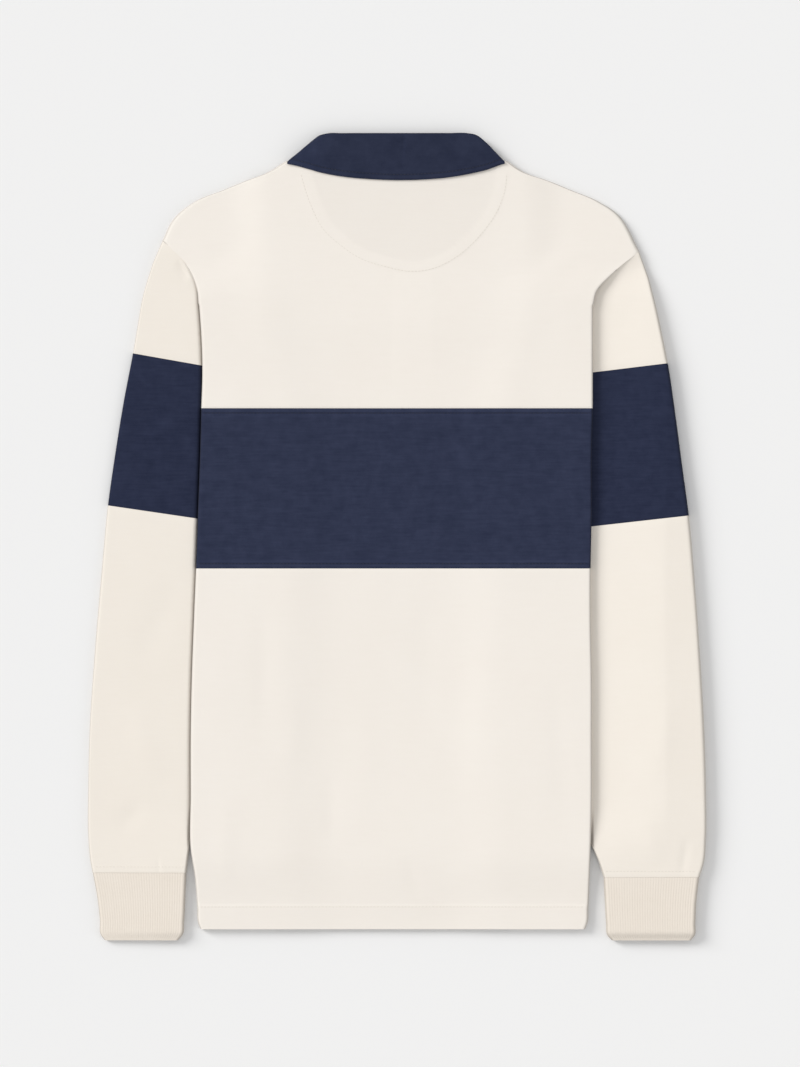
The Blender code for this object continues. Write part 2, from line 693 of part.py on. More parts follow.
def build_shirt():
    for leftover in list(bpy.data.objects):
        bpy.data.objects.remove(leftover, do_unlink=True)
    collection = bpy.data.collections.new("long_sleeve_polo")
    bpy.context.scene.collection.children.link(collection)
    material = {name: make_material(name) for name in MATERIALS}
    cream, navy = material["cream_jersey"], material["navy_jersey"]
    nodes = []

    stretches = (("upper", BODY_TOP, BAND_TOP, cream), ("band", BAND_TOP, BAND_BOTTOM, navy),
                 ("lower", BAND_BOTTOM, 0.0, cream))
    for panel, is_front in (("back", False), ("front", True)):
        for part, top, bottom, cloth in stretches:
            name = panel + "_" + part
            nodes.append(body_panel(name, is_front, top, bottom, cloth, collection))

    patch_z = UNDER_NECK + PITCH
    nodes.append(flat_strip("neck_patch", PATCH_ROWS, patch_z, PATCH_CLOTH, cream, collection))
    half = PLACKET_WIDTH / 2
    placket_rows = [dict(y=y, left=PLACKET_X - half, right=PLACKET_X + half)
                    for y in (PLACKET_TOP, lerp(PLACKET_TOP, PLACKET_BOTTOM, 0.5), PLACKET_BOTTOM)]
    nodes.append(flat_strip("placket", placket_rows, BUTTON_THICK + LAYER_GAP,
                            PLACKET_THICK, cream, collection, across=2))
    for index, y in enumerate(BUTTON_YS, start=1):
        nodes.append(button(index, y, material["button"], collection))

    nodes.append(collar_back(material["navy_collar"], collection))
    for side_name, side in (("left", -1), ("right", 1)):
        nodes.append(collar_front(side_name, side, material["navy_collar"], collection))
        rows = SLEEVE_ROWS[side_name]
        seams = [index for index, row in enumerate(rows) if row.get("seam")]
        ends = (0, seams[0], seams[1], len(rows) - 1)
        for part, first, last, cloth in (("upper", ends[0], ends[1], cream),
                                         ("band", ends[1], ends[2], navy),
                                         ("lower", ends[2], ends[3], cream)):
            name = "sleeve_%s_%s" % (side_name, part)
            nodes.append(sleeve_piece(name, side_name, first, last, cloth, collection))
        nodes.append(cuff(side_name, material["cream_rib"], collection))

    bpy.context.view_layer.update()
    centre_on_underside(nodes)


build_shirt()
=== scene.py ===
"""Looks of the long-sleeve polo shirt that lies face down, its back up.

Lengths are millimetres in the shirt's own measure: x from the middle of the hem, y up
from the lowest point of the hem, z up from the surface.  Every point is moved by CENTRE
and scaled to metres when its mesh is made.  A pair of numbers that is given to ramp()
tells where a soft step starts and where it is complete.
"""
import math

import bpy
import numpy as np
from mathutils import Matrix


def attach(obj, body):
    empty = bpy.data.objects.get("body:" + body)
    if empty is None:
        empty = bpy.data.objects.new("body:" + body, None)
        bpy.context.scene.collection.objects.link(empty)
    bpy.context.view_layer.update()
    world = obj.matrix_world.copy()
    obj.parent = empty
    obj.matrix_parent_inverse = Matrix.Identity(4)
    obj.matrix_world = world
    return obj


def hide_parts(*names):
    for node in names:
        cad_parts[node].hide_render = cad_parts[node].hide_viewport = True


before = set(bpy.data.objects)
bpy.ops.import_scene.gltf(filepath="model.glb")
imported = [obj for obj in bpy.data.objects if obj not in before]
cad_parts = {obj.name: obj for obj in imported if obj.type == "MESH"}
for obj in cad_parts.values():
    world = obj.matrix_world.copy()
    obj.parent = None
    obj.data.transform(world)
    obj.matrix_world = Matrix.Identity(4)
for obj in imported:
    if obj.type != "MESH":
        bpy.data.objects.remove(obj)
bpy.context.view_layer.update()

MM = 0.001
CENTRE = np.array([1.0, 368.95, 0.0])  # middle of the shirt's box in its own measure
SIDES = {"left": -1, "right": 1}


def table(columns, *rows):
    """Rows of values, each a dictionary under the named columns."""
    return [dict(zip(columns.split(), row)) for row in rows]


def column(rows, name):
    return [row[name] for row in rows]


# ---- sizes shared with the solids ----
CLOTH = 1.1
LAYER_GAP = 0.3
PITCH = CLOTH + LAYER_GAP
BAND_TOP, BAND_BOTTOM = 489.7, 339.2
BODY_TOP = 722.0
FOLD_RADIUS = {"back": 1.5 * PITCH, "front": 0.5 * PITCH}  # half heights of the side folds
FOLD_REACH = {"back": 1.15, "front": 0.5 * PITCH}  # and how far they bulge
FOLD_INSET = {"back": FOLD_REACH["back"] + CLOTH / 2, "front": 1.5 * PITCH + CLOTH / 2}
PLACKET_X, PLACKET_WIDTH, PLACKET_THICK = 16.0, 36.0, 1.2
PLACKET_TOP, PLACKET_BOTTOM = 640.0, 508.0
SLIT_WIDTH, SLIT_BOTTOM = 1.0, 515.0
BUTTON_THICK = 1.6
COLLAR_CLOTH, COLLAR_GAP = 1.2, 0.4
COLLAR_CORNER_X = 102.5
COLLAR_EDGE = 1.9  # the least depth of the folded collar, at its corners
UNDER_NECK = 3.25  # height of the collar's front under the front panel
PATCH_CLOTH = 1.0
PATCH_RISE = PATCH_CLOTH + LAYER_GAP
COLLAR_BASE = PITCH + UNDER_NECK + PATCH_RISE
CUFF_CLOTH, CUFF_GAP = 1.3, 0.4
RIB_COUNT = 34
SIDE_LIFT = (614.0, 590.0)  # y between which the sides start to be folded under
LEAVE = (22.0, 72.0)  # y between which the sleeve comes to lie under the body
HEM_WIDTH = 21.0
BAND_STITCH = 4.5  # topstitching this far inside the navy bands

# ---- tables shared with the solids ----
BODY_ROWS = table(
    "left_x left_y right_x right_y flap",
    (-104, 722, 105, 722, 45), (-120, 712, 120, 712, 45), (-141, 704, 143, 704, 45),
    (-163, 695, 165, 695, 45), (-188, 685, 191, 684, 45), (-210, 667, 214, 666, 45),
    (-220, 647, 229, 637, 45), (-203, 632, 213, 625, 45), (-192, 618, 199, 613, 45),
    (-186, 601, 188, 600, 45), (-185, 586, 185, 586, 45), (-184, 573, 185, 573, 45),
    (-183, 558, 185, 558, 49), (-182, 524, 185, 524, 60),
    (-183, BAND_TOP, 185, BAND_TOP, 69), (-184, 450, 184, 450, 75), (-186, 395, 184, 395, 76),
    (-188, BAND_BOTTOM, 183, BAND_BOTTOM, 76), (-190, 290, 183, 290, 76),
    (-192, 235, 184, 235, 76), (-193, 180, 184, 180, 76), (-193, 125, 184, 125, 75),
    (-193, 76, 183, 76, 74), (-189, 48, 182, 48, 73), (-187, 21, 181, 21, 72),
    (-186, 5, 180, 5, 71), (-184, 0, 178, 0, 70),
)
SHOULDER_ROW, FOLD_ROW = 6, 10
BODY_STRETCHES = table("part first last cloth", ("upper", 0, 14, "cream"),
                       ("band", 14, 17, "navy"), ("lower", 17, 26, "cream"))
NECKLINE = table("y half", (648, 3), (667, 54), (685, 73), (695, 79), (704, 83), (712, 86),
                 (722, 88))
PATCH_ROWS = table("y left right", (716, -91, 104.5), (695, -85.5, 102.5), (675, -78, 95.5),
                   (658, -69, 84.5), (642, -52, 70), (630, -34, 55), (621, -6, 37), (618, 8, 24))
COLLAR_SECTIONS = table(
    "x fold leaf",
    (-102.2, 721.4, 719.3), (-99, 724.4, 718.8), (-94, 728.3, 717.7), (-86.5, 734.7, 715.7),
    (-79, 741, 713.6), (-73, 745.6, 711.8), (-65, 748, 710), (-50, 748.3, 707.4),
    (-25, 748.4, 705.1), (0, 748.4, 704.1), (25, 748.4, 704.6), (50, 748.4, 706.7),
    (68, 748.2, 709.7), (76, 746.4, 711.4), (85.5, 738.8, 713.8), (94, 730.1, 716.8),
    (99, 724.8, 718.7), (102.2, 721.6, 719.5),
)
# x as a share of the way from the opening to the collar's corner
COLLAR_FRONT_ROWS = table(
    "fold_share fold_y leaf_share leaf_y stand",
    (0.83, 716, 0.985, 713, 28), (0.75, 698, 0.97, 682, 28), (0.61, 679, 0.92, 648, 28),
    (0.42, 665, 0.85, 616, 24), (0.22, 657, 0.78, 592, 15), (0.04, 653, 0.72, 586, 8),
)
SLEEVE_ROWS = {
    "left": table(
        "outer_x outer_y inner_x inner_y bow",
        (-220, 647, -185, 586, 0), (-229, 626, -185.6, 577, 6), (-238, 596, -185.2, 568, 3),
        (-243, 568, -184.8, 560, 1), (-247.5, 541.5, -160, 526, 0), (-256, 497, -134, 474, 0),
        (-264, 448, -118, 424, 0), (-271, 398.5, -118, 376, 0), (-277, 335, -123, 320, 0),
        (-283, 265, -135, 255, 0), (-288, 190, -153, 185, 0), (-289.5, 130, -172, 128, 0),
        (-289.5, 88, -192, 88, 0), (-287.5, 64, -195.5, 66, 0), (-285.5, 53, -197, 53, 0),
    ),
    "right": table(
        "outer_x outer_y inner_x inner_y bow",
        (229, 637, 185, 586, 0), (238, 612, 185.8, 577, 6), (244.5, 586, 185.8, 567, 3),
        (251, 556, 185.8, 557, 1), (255.7, 532, 163, 521, 0), (262.5, 486, 136, 470, 0),
        (269, 437, 120, 420, 0), (275.4, 389, 116, 371, 0), (281, 325, 121, 315, 0),
        (285.5, 262, 131, 255, 0), (289.5, 195, 146, 190, 0), (291.5, 130, 163, 128, 0),
        (291.5, 85, 182, 82, 0), (289.5, 62, 191, 62, 0), (285.5, 49, 195, 49, 0),
    ),
}
SLEEVE_CORNERS = {1, 3}
TUCKED_ROWS = 4  # so many first rows end under the body's raised edge
SLEEVE_STRETCHES = table("part first last cloth", ("upper", 0, 4, "sleeve"),
                         ("band", 4, 7, "sleeve_navy"), ("lower", 7, 14, "sleeve"))
CUFF_ROWS = {
    "left": table("y outer inner", (52.9, -285.2, -197.2), (30, -281, -198.2),
                  (8, -278.5, -199.2), (-6, -277.5, -201), (-10.5, -274, -205)),
    "right": table("y outer inner", (48.9, 285.2, 195.2), (26, 282.5, 196.4),
                   (5, 281.5, 197.6), (-6, 281, 198.8), (-10.5, 277.5, 203)),
}

# ---- fineness of the visible meshes ----
ROW_STEP = 3.2  # along the body and the sleeves
ARC_STEP, LEAF_STEP, CUFF_STEP = 2.0, 2.0, 2.0
FLAT_STEP, HIDDEN_LEAF_STEP = 2.5, 3.0
FINE_OFFSETS = np.arange(-6.0, 6.1, 0.6)  # extra rows about each seam
LEAST_ROW_STEP = 0.15
HALF_COLUMNS = 64  # from the middle of a panel to its fold
HALF_SHARES = 1.0 - (1.0 - np.linspace(0.0, 1.0, HALF_COLUMNS)) ** 1.15  # closer at the fold
FOLD_STEPS = 8
FLAP_COLUMNS = 20
LEAF_COLUMNS, HIDDEN_LEAF_COLUMNS = 36, 18
FLAT_COLUMNS = 40
SLEEVE_COLUMNS = 96
RIB_STEPS = 5  # columns in each rib

# ---- how the soft cloth stands off the pressed solids ----
SEAM_GAP = 0.1  # pressed seams close up more than the plain solids show
BACK_LOFT = 4.4  # the back panel rides on air over the middle of the front
YOKE_LOFT = 2.4  # and less so towards the shoulders
LOFT_RAMP = (690.0, 570.0)  # y between which the one changes to the other
HEM_LOFT = 0.35  # share of the loft that is left at the hem
HEM_LOFT_END = 70.0
FRONT_SIDE_RAMP, BACK_SIDE_RAMP = 38.0, 90.0  # width of the slope beside a folded side
FLAP_MARGIN = 4.0  # the slope starts this far past the folded side
BACK_LIFT = (700.0, 590.0)  # y between which the back rises over its folded sides
EDGE_LIFT = (655.0, 590.0)  # and the same along the armhole
EDGE_FADE = 75.0  # the armhole's edge keeps its own height over this width
EDGE_ROUND = 3.5  # the back rounds down to its shoulder edges over this width
SHOULDER_END = {"left": 640.0, "right": 632.0}  # y where that rounding ends
SHOULDER_FADE = 12.0
OPEN_INSET = 0.6  # share of the fold's inset on a side that isn't folded under
TURNED_TOP = 626.0  # below this y the back's edge turns down over the armhole seam
TURNED_STEPS = 5
UNDER_BODY = (638.0, 600.0)  # y between which the sleeve goes under the body's edge
HEAD_PRESS = 0.3  # the sleeve's head reaches this far under the armhole's edge
TUCK = 5.0  # and this far under the raised edge of the body
FOLD_SPREAD = 0.2  # how much further a fold bulges for each millimetre of height
CUFF_RISE = (54.0, 120.0)  # y between which a cuff's height changes to its sleeve's
CUFF_STAND = 0.2  # the springy rib stands this much over the sleeve's end
CUFF_END = (-11.0, -2.0)  # y between which the cuff's end rises to its height
VISIBLE_RIB = 0.16  # height of the soft ribs on the cuffs

# How the sleeves' and the cuffs' upper layer stands up.  inner: height beside the body;
# clear: flat strip beside the body; ramp: width over which the sleeve then rises;
# outer: height at the outer fold; cuff_inner, cuff_outer: the same at the cuff
SLEEVE_LOFTS = {
    "left": dict(inner=2.9, clear=0.1, ramp=4.5, outer=1.8, cuff_inner=4.4, cuff_outer=1.8),
    "right": dict(inner=0.0, clear=2.0, ramp=68.0, outer=7.0, cuff_inner=5.0, cuff_outer=6.0),
}
# Where a panel bridges over a hidden thickness
MOUNDS = {
    "front_neck": dict(middle=0.0, half=108.0, ramp=45.0, y=(530.0, 575.0)),
    "front_placket": dict(middle=PLACKET_X, half=22.0, ramp=28.0, y=(445.0, 485.0)),
    "back_neck": dict(middle=0.0, half=118.0, ramp=60.0, y=(480.0, 575.0)),
}

# ---- fine form: heights, and the widths of grooves ----
SEAM_PAD = 0.26  # allowances that are pressed into a band
SEAM_GROOVE, SEAM_GROOVE_WIDTH = 0.3, 1.0
STITCH_GROOVE, STITCH_GROOVE_WIDTH = 0.4, 0.8
HIDDEN_STITCH_GROOVE = 0.3
HEM_PAD, HEM_GROOVE = 0.34, 0.12
PATCH_PAD, PATCH_GROOVE, PATCH_MIDDLE_DROP = 0.12, 0.05, 0.06
PATCH_RIM = 9.5  # width of the pressed allowance along the patch's arc
PATCH_STITCH = 1.4
STRIP_PAD = 0.1  # the placket strip as it shows through the back
STRIP_Y = 566.0
STRIP_FORM = dict(x=PLACKET_X + 1.0, half=17.0, side=3.0, half_length=42.0, end=12.0)
STRIP_TONE = dict(x=PLACKET_X, half=18.0, side=2.0, half_length=46.0, end=14.0)
CUFF_STITCH = 5.6  # topstitching this far above the cuff's seam
CUFF_PAD, CUFF_SEAM_GROOVE = 0.16, 0.14
COLLAR_STITCH = 5.3  # topstitching this far above the leaf's edge
CREASE_X, CREASE_Y, CREASE_LEAN = 6.6, 726.0, 0.12  # crease at the middle of the collar
CREASE_RAMP = (716.0, 724.0)
# Heights on the collar's leaf: its pressed edge, the roll of its rim, and soft waves
LEAF_FORM = dict(edge=0.25, stitch=0.2, rim=0.55, crease=0.3, wave=0.22)
# How much paler, or darker below 0, the cloth is than its own colour; the stitch entries are painted shade
# along the stitch grooves
TONES = dict(patch=-0.03, patch_rim=0.03, strip=0.006, hem=-0.008, hem_stitch_painted_shade=-0.01,
             band_edge=0.13, band_stitch_painted_shade=-0.3, leaf_edge=0.08, leaf_stitch_painted_shade=-0.28,
             leaf_crease=0.12, leaf_left_end=0.22)

# Creases and soft swells: the ends of a line, its half width and its height
BACK_CREASES = table(
    "x1 y1 x2 y2 width height",
    (-125, 320, -125, 165, 9, -0.35), (-98, 230, -96, 150, 10, 0.3),
    (-62, 150, -60, 78, 8, -0.4), (-29, 260, -31, 80, 16, 0.28),
    (27, 310, 28, 175, 12, -0.3), (84, 275, 72, 115, 13, 0.3),
    (8, 66, 24, 30, 6, -0.35), (-150, 520, -165, 400, 14, 0.3),
    (120, 560, 150, 430, 16, -0.3), (150, 250, 158, 90, 10, -0.3),
    (-158, 130, -165, 30, 9, 0.3), (-135, 655, -178, 622, 13, -0.35),
    (140, 650, 182, 615, 12, -0.35),
)
SLEEVE_CREASES = table(
    "x1 y1 x2 y2 width height",
    (-206, 628, -194, 612, 5, -0.7), (-224, 68, -222, 50, 2.0, -0.22),
    (-221, 70, -219.5, 50, 2.6, 0.1), (-236, 118, -262, 92, 9, -0.5),
    (-205, 330, -240, 250, 14, -0.5), (-250, 210, -222, 140, 12, 0.45),
    (274, 86, 268, 48, 4.5, -0.45), (232, 108, 246, 60, 9, 0.4),
    (214, 360, 250, 270, 14, -0.45), (262, 220, 236, 130, 12, 0.4),
    (226, 600, 216, 560, 9, -0.35),
)
SWELL_WAVES = table(
    "across up phase height",
    (0.043, 0.009, 0.7, 0.07), (0.021, -0.017, 2.1, 0.1), (-0.012, 0.031, 4.0, 0.1),
    (0.071, 0.023, 1.3, 0.03), (-0.055, 0.047, 5.2, 0.025),
)
SWELL_MARGIN = 30.0  # the swells fade out this near to the body's edge


# ---- small helpers ----
def ramp(value, start, end):
    """A soft step: 0 up to start, 1 from end on."""
    share = np.clip((value - start) / (end - start), 0.0, 1.0)
    return share * share * (3.0 - 2.0 * share)


def plateau(distance, half, width):
    """1 within half of the middle, falling softly to 0 over a width."""
    return ramp(np.abs(distance), half + width, half)


def bell(distance, width):
    """1 at a line, falling softly to 0 on both sides of it."""
    return np.exp(-(distance / width) ** 2)


def mix(first, second, share):
    return first + (second - first) * share


def stack(*coordinates):
    """Points from arrays or single numbers, one for each coordinate."""
    return np.stack(np.broadcast_arrays(*coordinates), axis=-1)


BEND = math.pi * np.arange(1, FOLD_STEPS) / FOLD_STEPS  # angles of a fold's own points


def fold_points(x, y, out, reach, middle_z, half, angles):
    """Points round a fold, half an ellipse, with the direction to its outer face.

    x, y: where the cloth starts to bend; out: which way it bulges; reach: how far;
    half: half of its height; angles: 0 at its top.
    """
    sideways, rise = np.sin(angles), np.cos(angles)
    slope = np.hypot(sideways / reach, rise / half)
    outward = sideways / reach / slope
    return stack(x + out[0] * reach * sideways, y + out[1] * reach * sideways,
                 middle_z + half * rise, out[0] * outward, out[1] * outward, rise / half / slope)


def soft_max(a, b):
    """The larger of two heights, without a sharp line where they cross."""
    return (np.maximum(a, 0.0) ** 4 + np.maximum(b, 0.0) ** 4) ** 0.25


def crease_height(creases, x, y):
    """Sum of soft troughs and ridges along short lines that fade at their ends."""
    total = np.zeros_like(x)
    for crease in creases:
        run_x, run_y = crease["x2"] - crease["x1"], crease["y2"] - crease["y1"]
        length = math.hypot(run_x, run_y)
        from_x, from_y = x - crease["x1"], y - crease["y1"]
        along = np.clip((from_x * run_x + from_y * run_y) / length ** 2, 0.0, 1.0)
        aside = (from_x * run_y - from_y * run_x) / length
        total += crease["height"] * np.sin(math.pi * along) ** 0.8 * bell(aside, crease["width"])
    return total


def swell(x, y):
    """Broad, barely visible unevenness of cloth that lies on cloth."""
    return sum(wave["height"] * np.sin(wave["across"] * x + wave["up"] * y + wave["phase"])
               for wave in SWELL_WAVES)


def hermite(points, corners, step):
    """Dense points through the given ones, bent at the corners and smooth elsewhere.

    Returns the points, and the index of each given point among them.
    """
    points = np.array(points, float)
    lengths = np.maximum(np.hypot(*(points[1:, :2] - points[:-1, :2]).T), 1e-6)[:, None]
    slopes = (points[1:] - points[:-1]) / lengths
    middles = slopes[:-1] * lengths[1:] + slopes[1:] * lengths[:-1]
    middles /= lengths[:-1] + lengths[1:]
    tangents = np.concatenate([slopes[:1], middles, slopes[-1:]])
    dense, where = [points[:1]], [0]
    for i, length in enumerate(lengths[:, 0]):
        start = slopes[i] if i in corners else tangents[i]
        end = slopes[i] if i + 1 in corners else tangents[i + 1]
        count = max(1, math.ceil(length / step))
        s = (np.arange(1, count + 1) / count)[:, None]
        dense.append((2 * s**3 - 3 * s**2 + 1) * points[i] + (s**3 - 2 * s**2 + s) * length * start
                     + (3 * s**2 - 2 * s**3) * points[i + 1] + (s**3 - s**2) * length * end)
        where.append(where[-1] + count)
    return np.concatenate(dense), where


def stretch_rows(dense, where, stretch):
    """The dense rows of one stretch, drawn in by half a gap where it is seamed to the next."""
    rows = dense[where[stretch["first"]]:where[stretch["last"]] + 1].copy()
    if stretch["first"] > 0:
        rows[0, [1, 3]] -= SEAM_GAP / 2
    if stretch["last"] < len(where) - 1:
        rows[-1, [1, 3]] += SEAM_GAP / 2
    return rows


# ---- outline of the body ----
def body_edges():
    """Dense rows of the body, closest at its seams, and the places of the given rows."""
    given = [tuple(row.values()) for row in BODY_ROWS]
    dense, where = hermite(given, {SHOULDER_ROW, FOLD_ROW}, ROW_STEP)
    ys = dense[:, 1]
    extra = [seam + offset for seam in (BAND_TOP, BAND_BOTTOM, HEM_WIDTH) for offset in FINE_OFFSETS]
    extra = [y for y in extra
             if ys.min() < y < ys.max() and np.abs(ys - y).min() > LEAST_ROW_STEP]
    added = np.stack([np.interp(extra, ys[::-1], values[::-1]) for values in dense.T], axis=1)
    rows = np.concatenate([dense, added])
    order = np.argsort(-rows[:, 1], kind="stable")
    places = np.argsort(order, kind="stable")
    return rows[order], [int(places[index]) for index in where]


BODY_EDGES, BODY_WHERE = body_edges()
FOLD_Y = BODY_EDGES[BODY_WHERE[FOLD_ROW], 1]


def edge_x(side, y):
    """The x of the body's edge on one side at a height."""
    x_column = 0 if side < 0 else 2
    rows = BODY_EDGES[::-1]
    return np.interp(y, rows[:, x_column + 1], rows[:, x_column])


def flap_width(y):
    """How wide the side of the body is folded under at a height."""
    rows = BODY_EDGES[::-1]
    return np.interp(y, rows[:, 1], rows[:, 4])


def from_edge(x, y):
    """Distance inwards from the nearer edge of the body."""
    return np.where(x < PLACKET_X, x - edge_x(-1, y), edge_x(1, y) - x)


# ---- heights of the body's layers ----
def side_lift(y):
    """0 above the fold, 1 where the side is fully folded under."""
    return ramp(y, *SIDE_LIFT)


def side_rise(y):
    """Height of what a panel's side lies on: its fold, and above the hem the sleeve too."""
    return 2 * PITCH * (1.0 + ramp(y, *LEAVE))


def side_slope(x, y, width):
    """1 over the folded side of the body, sloping down to 0 towards the middle."""
    past_flap = from_edge(x, y) - FOLD_INSET["front"] - flap_width(y) - FLAP_MARGIN
    return ramp(past_flap, width, 0.0)


def mound(name, x, y):
    """1 over a hidden thickness, falling softly to 0 round it."""
    form = MOUNDS[name]
    return plateau(x - form["middle"], form["half"], form["ramp"]) * ramp(y, *form["y"])


def front_height(x, y):
    """Underside of the front panel above the surface."""
    sides = side_lift(y) * side_rise(y) * side_slope(x, y, FRONT_SIDE_RAMP)
    middle = np.maximum(mound("front_neck", x, y), mound("front_placket", x, y))
    return soft_max(sides, UNDER_NECK * middle)


def back_height(x, y):
    """Underside of the back panel, which bridges softly over what lies below it."""
    near_edge = ramp(from_edge(x, y) - FOLD_INSET["front"], EDGE_FADE, 0.0)
    lift = mix(ramp(y, *BACK_LIFT), ramp(y, *EDGE_LIFT), near_edge)
    sides = np.maximum(lift, side_lift(y)) * side_rise(y) * side_slope(x, y, BACK_SIDE_RAMP)
    raised = soft_max(sides, (UNDER_NECK + PATCH_RISE) * mound("back_neck", x, y))
    loft = mix(YOKE_LOFT, BACK_LOFT, ramp(y, *LOFT_RAMP))
    height = soft_max(raised, loft * mix(HEM_LOFT, 1.0, ramp(y, 0.0, HEM_LOFT_END)))
    return PITCH + height * shoulder_rounding(x, y)


def shoulder_rounding(x, y):
    """1 inside the back, and rounding down to 0 at its shoulder edges."""
    above = y - np.where(x < 0, SHOULDER_END["left"], SHOULDER_END["right"])
    share = np.clip(from_edge(x, y) / EDGE_ROUND, 0.0, 1.0)
    return 1.0 - ramp(above, 0.0, SHOULDER_FADE) * (1.0 - np.sqrt(1.0 - (1.0 - share) ** 2))


def patch_arc():
    """Dense outline of the neck patch, from its left top round to its right top."""
    left = [(row["left"], row["y"]) for row in PATCH_ROWS]
    right = [(row["right"], row["y"]) for row in reversed(PATCH_ROWS)]
    return hermite(left + right, set(), ARC_STEP)[0]


PATCH_ARC = patch_arc()


def patch_distance(x, y):
    """Signed distance to the patch's arc: positive inside it."""
    near = np.full_like(x, np.inf)
    for arc_x, arc_y in PATCH_ARC:
        near = np.minimum(near, np.hypot(x - arc_x, y - arc_y))
    rows = PATCH_ROWS[::-1]
    left, right = (np.interp(y, column(rows, "y"), column(rows, name)) for name in ("left", "right"))
    inside = (x > left) & (x < right) & (y > rows[0]["y"])
    return np.where(inside, near, -near)


def band_seam(inside):
    """A seam with its allowances pressed into the band and stitched down.

    inside: distance from the seam into the band.
    """
    pad = ramp(inside, 0.0, 0.8) * ramp(inside - BAND_STITCH, 2.4, 0.0)
    return (SEAM_PAD * pad - SEAM_GROOVE * bell(inside, SEAM_GROOVE_WIDTH)
            - STITCH_GROOVE * bell(inside - BAND_STITCH, STITCH_GROOVE_WIDTH))


def soft_form(x, y):
    """Creases and swells of the back, the same on both of its faces."""
    return crease_height(BACK_CREASES, x, y) + swell(x, y) * ramp(from_edge(x, y), 0.0, SWELL_MARGIN)


def strip(x, y, form):
    """1 over the placket strip, falling softly to 0 round it."""
    return (plateau(x - form["x"], form["half"], form["side"])
            * plateau(y - STRIP_Y, form["half_length"], form["end"]))


def back_relief(x, y):
    """Fine form of the back's outer face: seams, hem, patch, placket and creases."""
    relief = soft_form(x, y) + band_seam(BAND_TOP - y) + band_seam(y - BAND_BOTTOM)
    relief += HEM_PAD * ramp(y - HEM_WIDTH, 3.0, 0.0) - HEM_GROOVE * bell(y - HEM_WIDTH, 1.0)
    arc = patch_distance(x, y)
    relief += PATCH_PAD * ramp(arc, -1.0, 1.4) - PATCH_GROOVE * bell(arc - PATCH_STITCH, 0.8)
    relief -= PATCH_MIDDLE_DROP * ramp(arc, PATCH_RIM, PATCH_RIM + 3.0)
    return relief + STRIP_PAD * strip(x, y, STRIP_FORM)


def back_tone(x, y):
    """A factor for the back's colour at its seams and where a second layer lies under it, with painted
    shade along its stitch lines.
    """
    arc = patch_distance(x, y)
    inside = ramp(arc, -0.8, 0.8)
    band = np.minimum(BAND_TOP - y, y - BAND_BOTTOM)
    cream = (1.0 + TONES["patch"] * inside + TONES["patch_rim"] * inside * ramp(arc, 12.0, 9.0)
             + TONES["strip"] * strip(x, y, STRIP_TONE)
             + TONES["hem"] * ramp(y - HEM_WIDTH, 0.8, 0.0)
             # painted shade along the hem's stitch groove
             + TONES["hem_stitch_painted_shade"] * bell(y - HEM_WIDTH, 0.7))
    navy = (1.0 + TONES["band_edge"] * ramp(band, -0.3, 0.3) * ramp(band, 9.0, 6.5)
            # painted shade along the band's stitch grooves
            + TONES["band_stitch_painted_shade"] * bell(band - BAND_STITCH, 0.7))
    return cream * navy


# ---- meshes ----
def show(name, data):
    """A new object in the scene."""
    made = bpy.data.objects.new(name, data)
    bpy.context.scene.collection.objects.link(made)
    return made


def make_object(name, points, faces, material, angle=50.0):
    """A smooth-shaded mesh object from points in millimetres."""
    mesh = bpy.data.meshes.new(name)
    mesh.from_pydata(((np.asarray(points) - CENTRE) * MM).tolist(), [], faces)
    mesh.update()
    mesh.shade_smooth()
    mesh.set_sharp_from_angle(angle=math.radians(angle))
    mesh.materials.append(material)
    return show(name, mesh)


def dress(piece, node):
    """Puts a piece on the shirt's one body, in place of its solid."""
    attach(piece, "root")
    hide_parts(node)


def two_faces(grid, thickness):
    """Outer and inner grids, half a thickness to each side of a centre line.

    The last three values of each point are the direction to its outer face.
    """
    centre, offset = grid[..., :3], grid[..., 3:] * thickness / 2
    return centre + offset, centre - offset


def wall_object(name, outer, inner, material, present=None, ring=False,
                rests_on=(), tone=None):
    """A closed cloth wall between two grids of points of one shape.

    present: which cells of the grid there is cloth in.
    ring: the last column joins the first.
    tone: a factor for the colour at each point of the grid.
    """
    rows, columns = outer.shape[:2]
    across = columns if ring else columns - 1
    there = np.ones((rows - 1, across), bool) if present is None else present
    number = np.arange(rows * columns).reshape(rows, columns)
    right_of = np.roll(number, -1, axis=1)
    quads = np.stack([grid[rows_, :across] for grid, rows_ in (
        (number, slice(0, -1)), (number, slice(1, None)),
        (right_of, slice(1, None)), (right_of, slice(0, -1)))], axis=2)
    inner_start = rows * columns
    faces = [quads[there], quads[there][:, ::-1] + inner_start]
    padded = np.pad(there, ((1, 1), (1, 1)))
    if ring:
        padded[1:-1, 0], padded[1:-1, -1] = there[:, -1], there[:, 0]
    sides = ((0, 1, padded[1:-1, :-2]), (1, 2, padded[2:, 1:-1]),
             (2, 3, padded[1:-1, 2:]), (3, 0, padded[:-2, 1:-1]))
    for start, end, neighbour in sides:
        rim = quads[there & ~neighbour]
        faces.append(np.stack([rim[:, end], rim[:, start], rim[:, start] + inner_start,
                               rim[:, end] + inner_start], axis=1))
    points = np.concatenate([outer.reshape(-1, 3), inner.reshape(-1, 3)])
    used, renumbered = np.unique(np.concatenate(faces), return_inverse=True)
    piece = make_object(name, points[used], renumbered.reshape(-1, 4).tolist(), material)
    values = np.ones(inner_start) if tone is None else tone.ravel()
    layer = piece.data.attributes.new("tone", "FLOAT", "POINT")
    layer.data.foreach_set("value", np.concatenate([values, values])[used])
    width, length, area = developed((outer + inner) / 2, there)
    list(rests_on)
    min(area, width * length) * MM * MM
    return piece


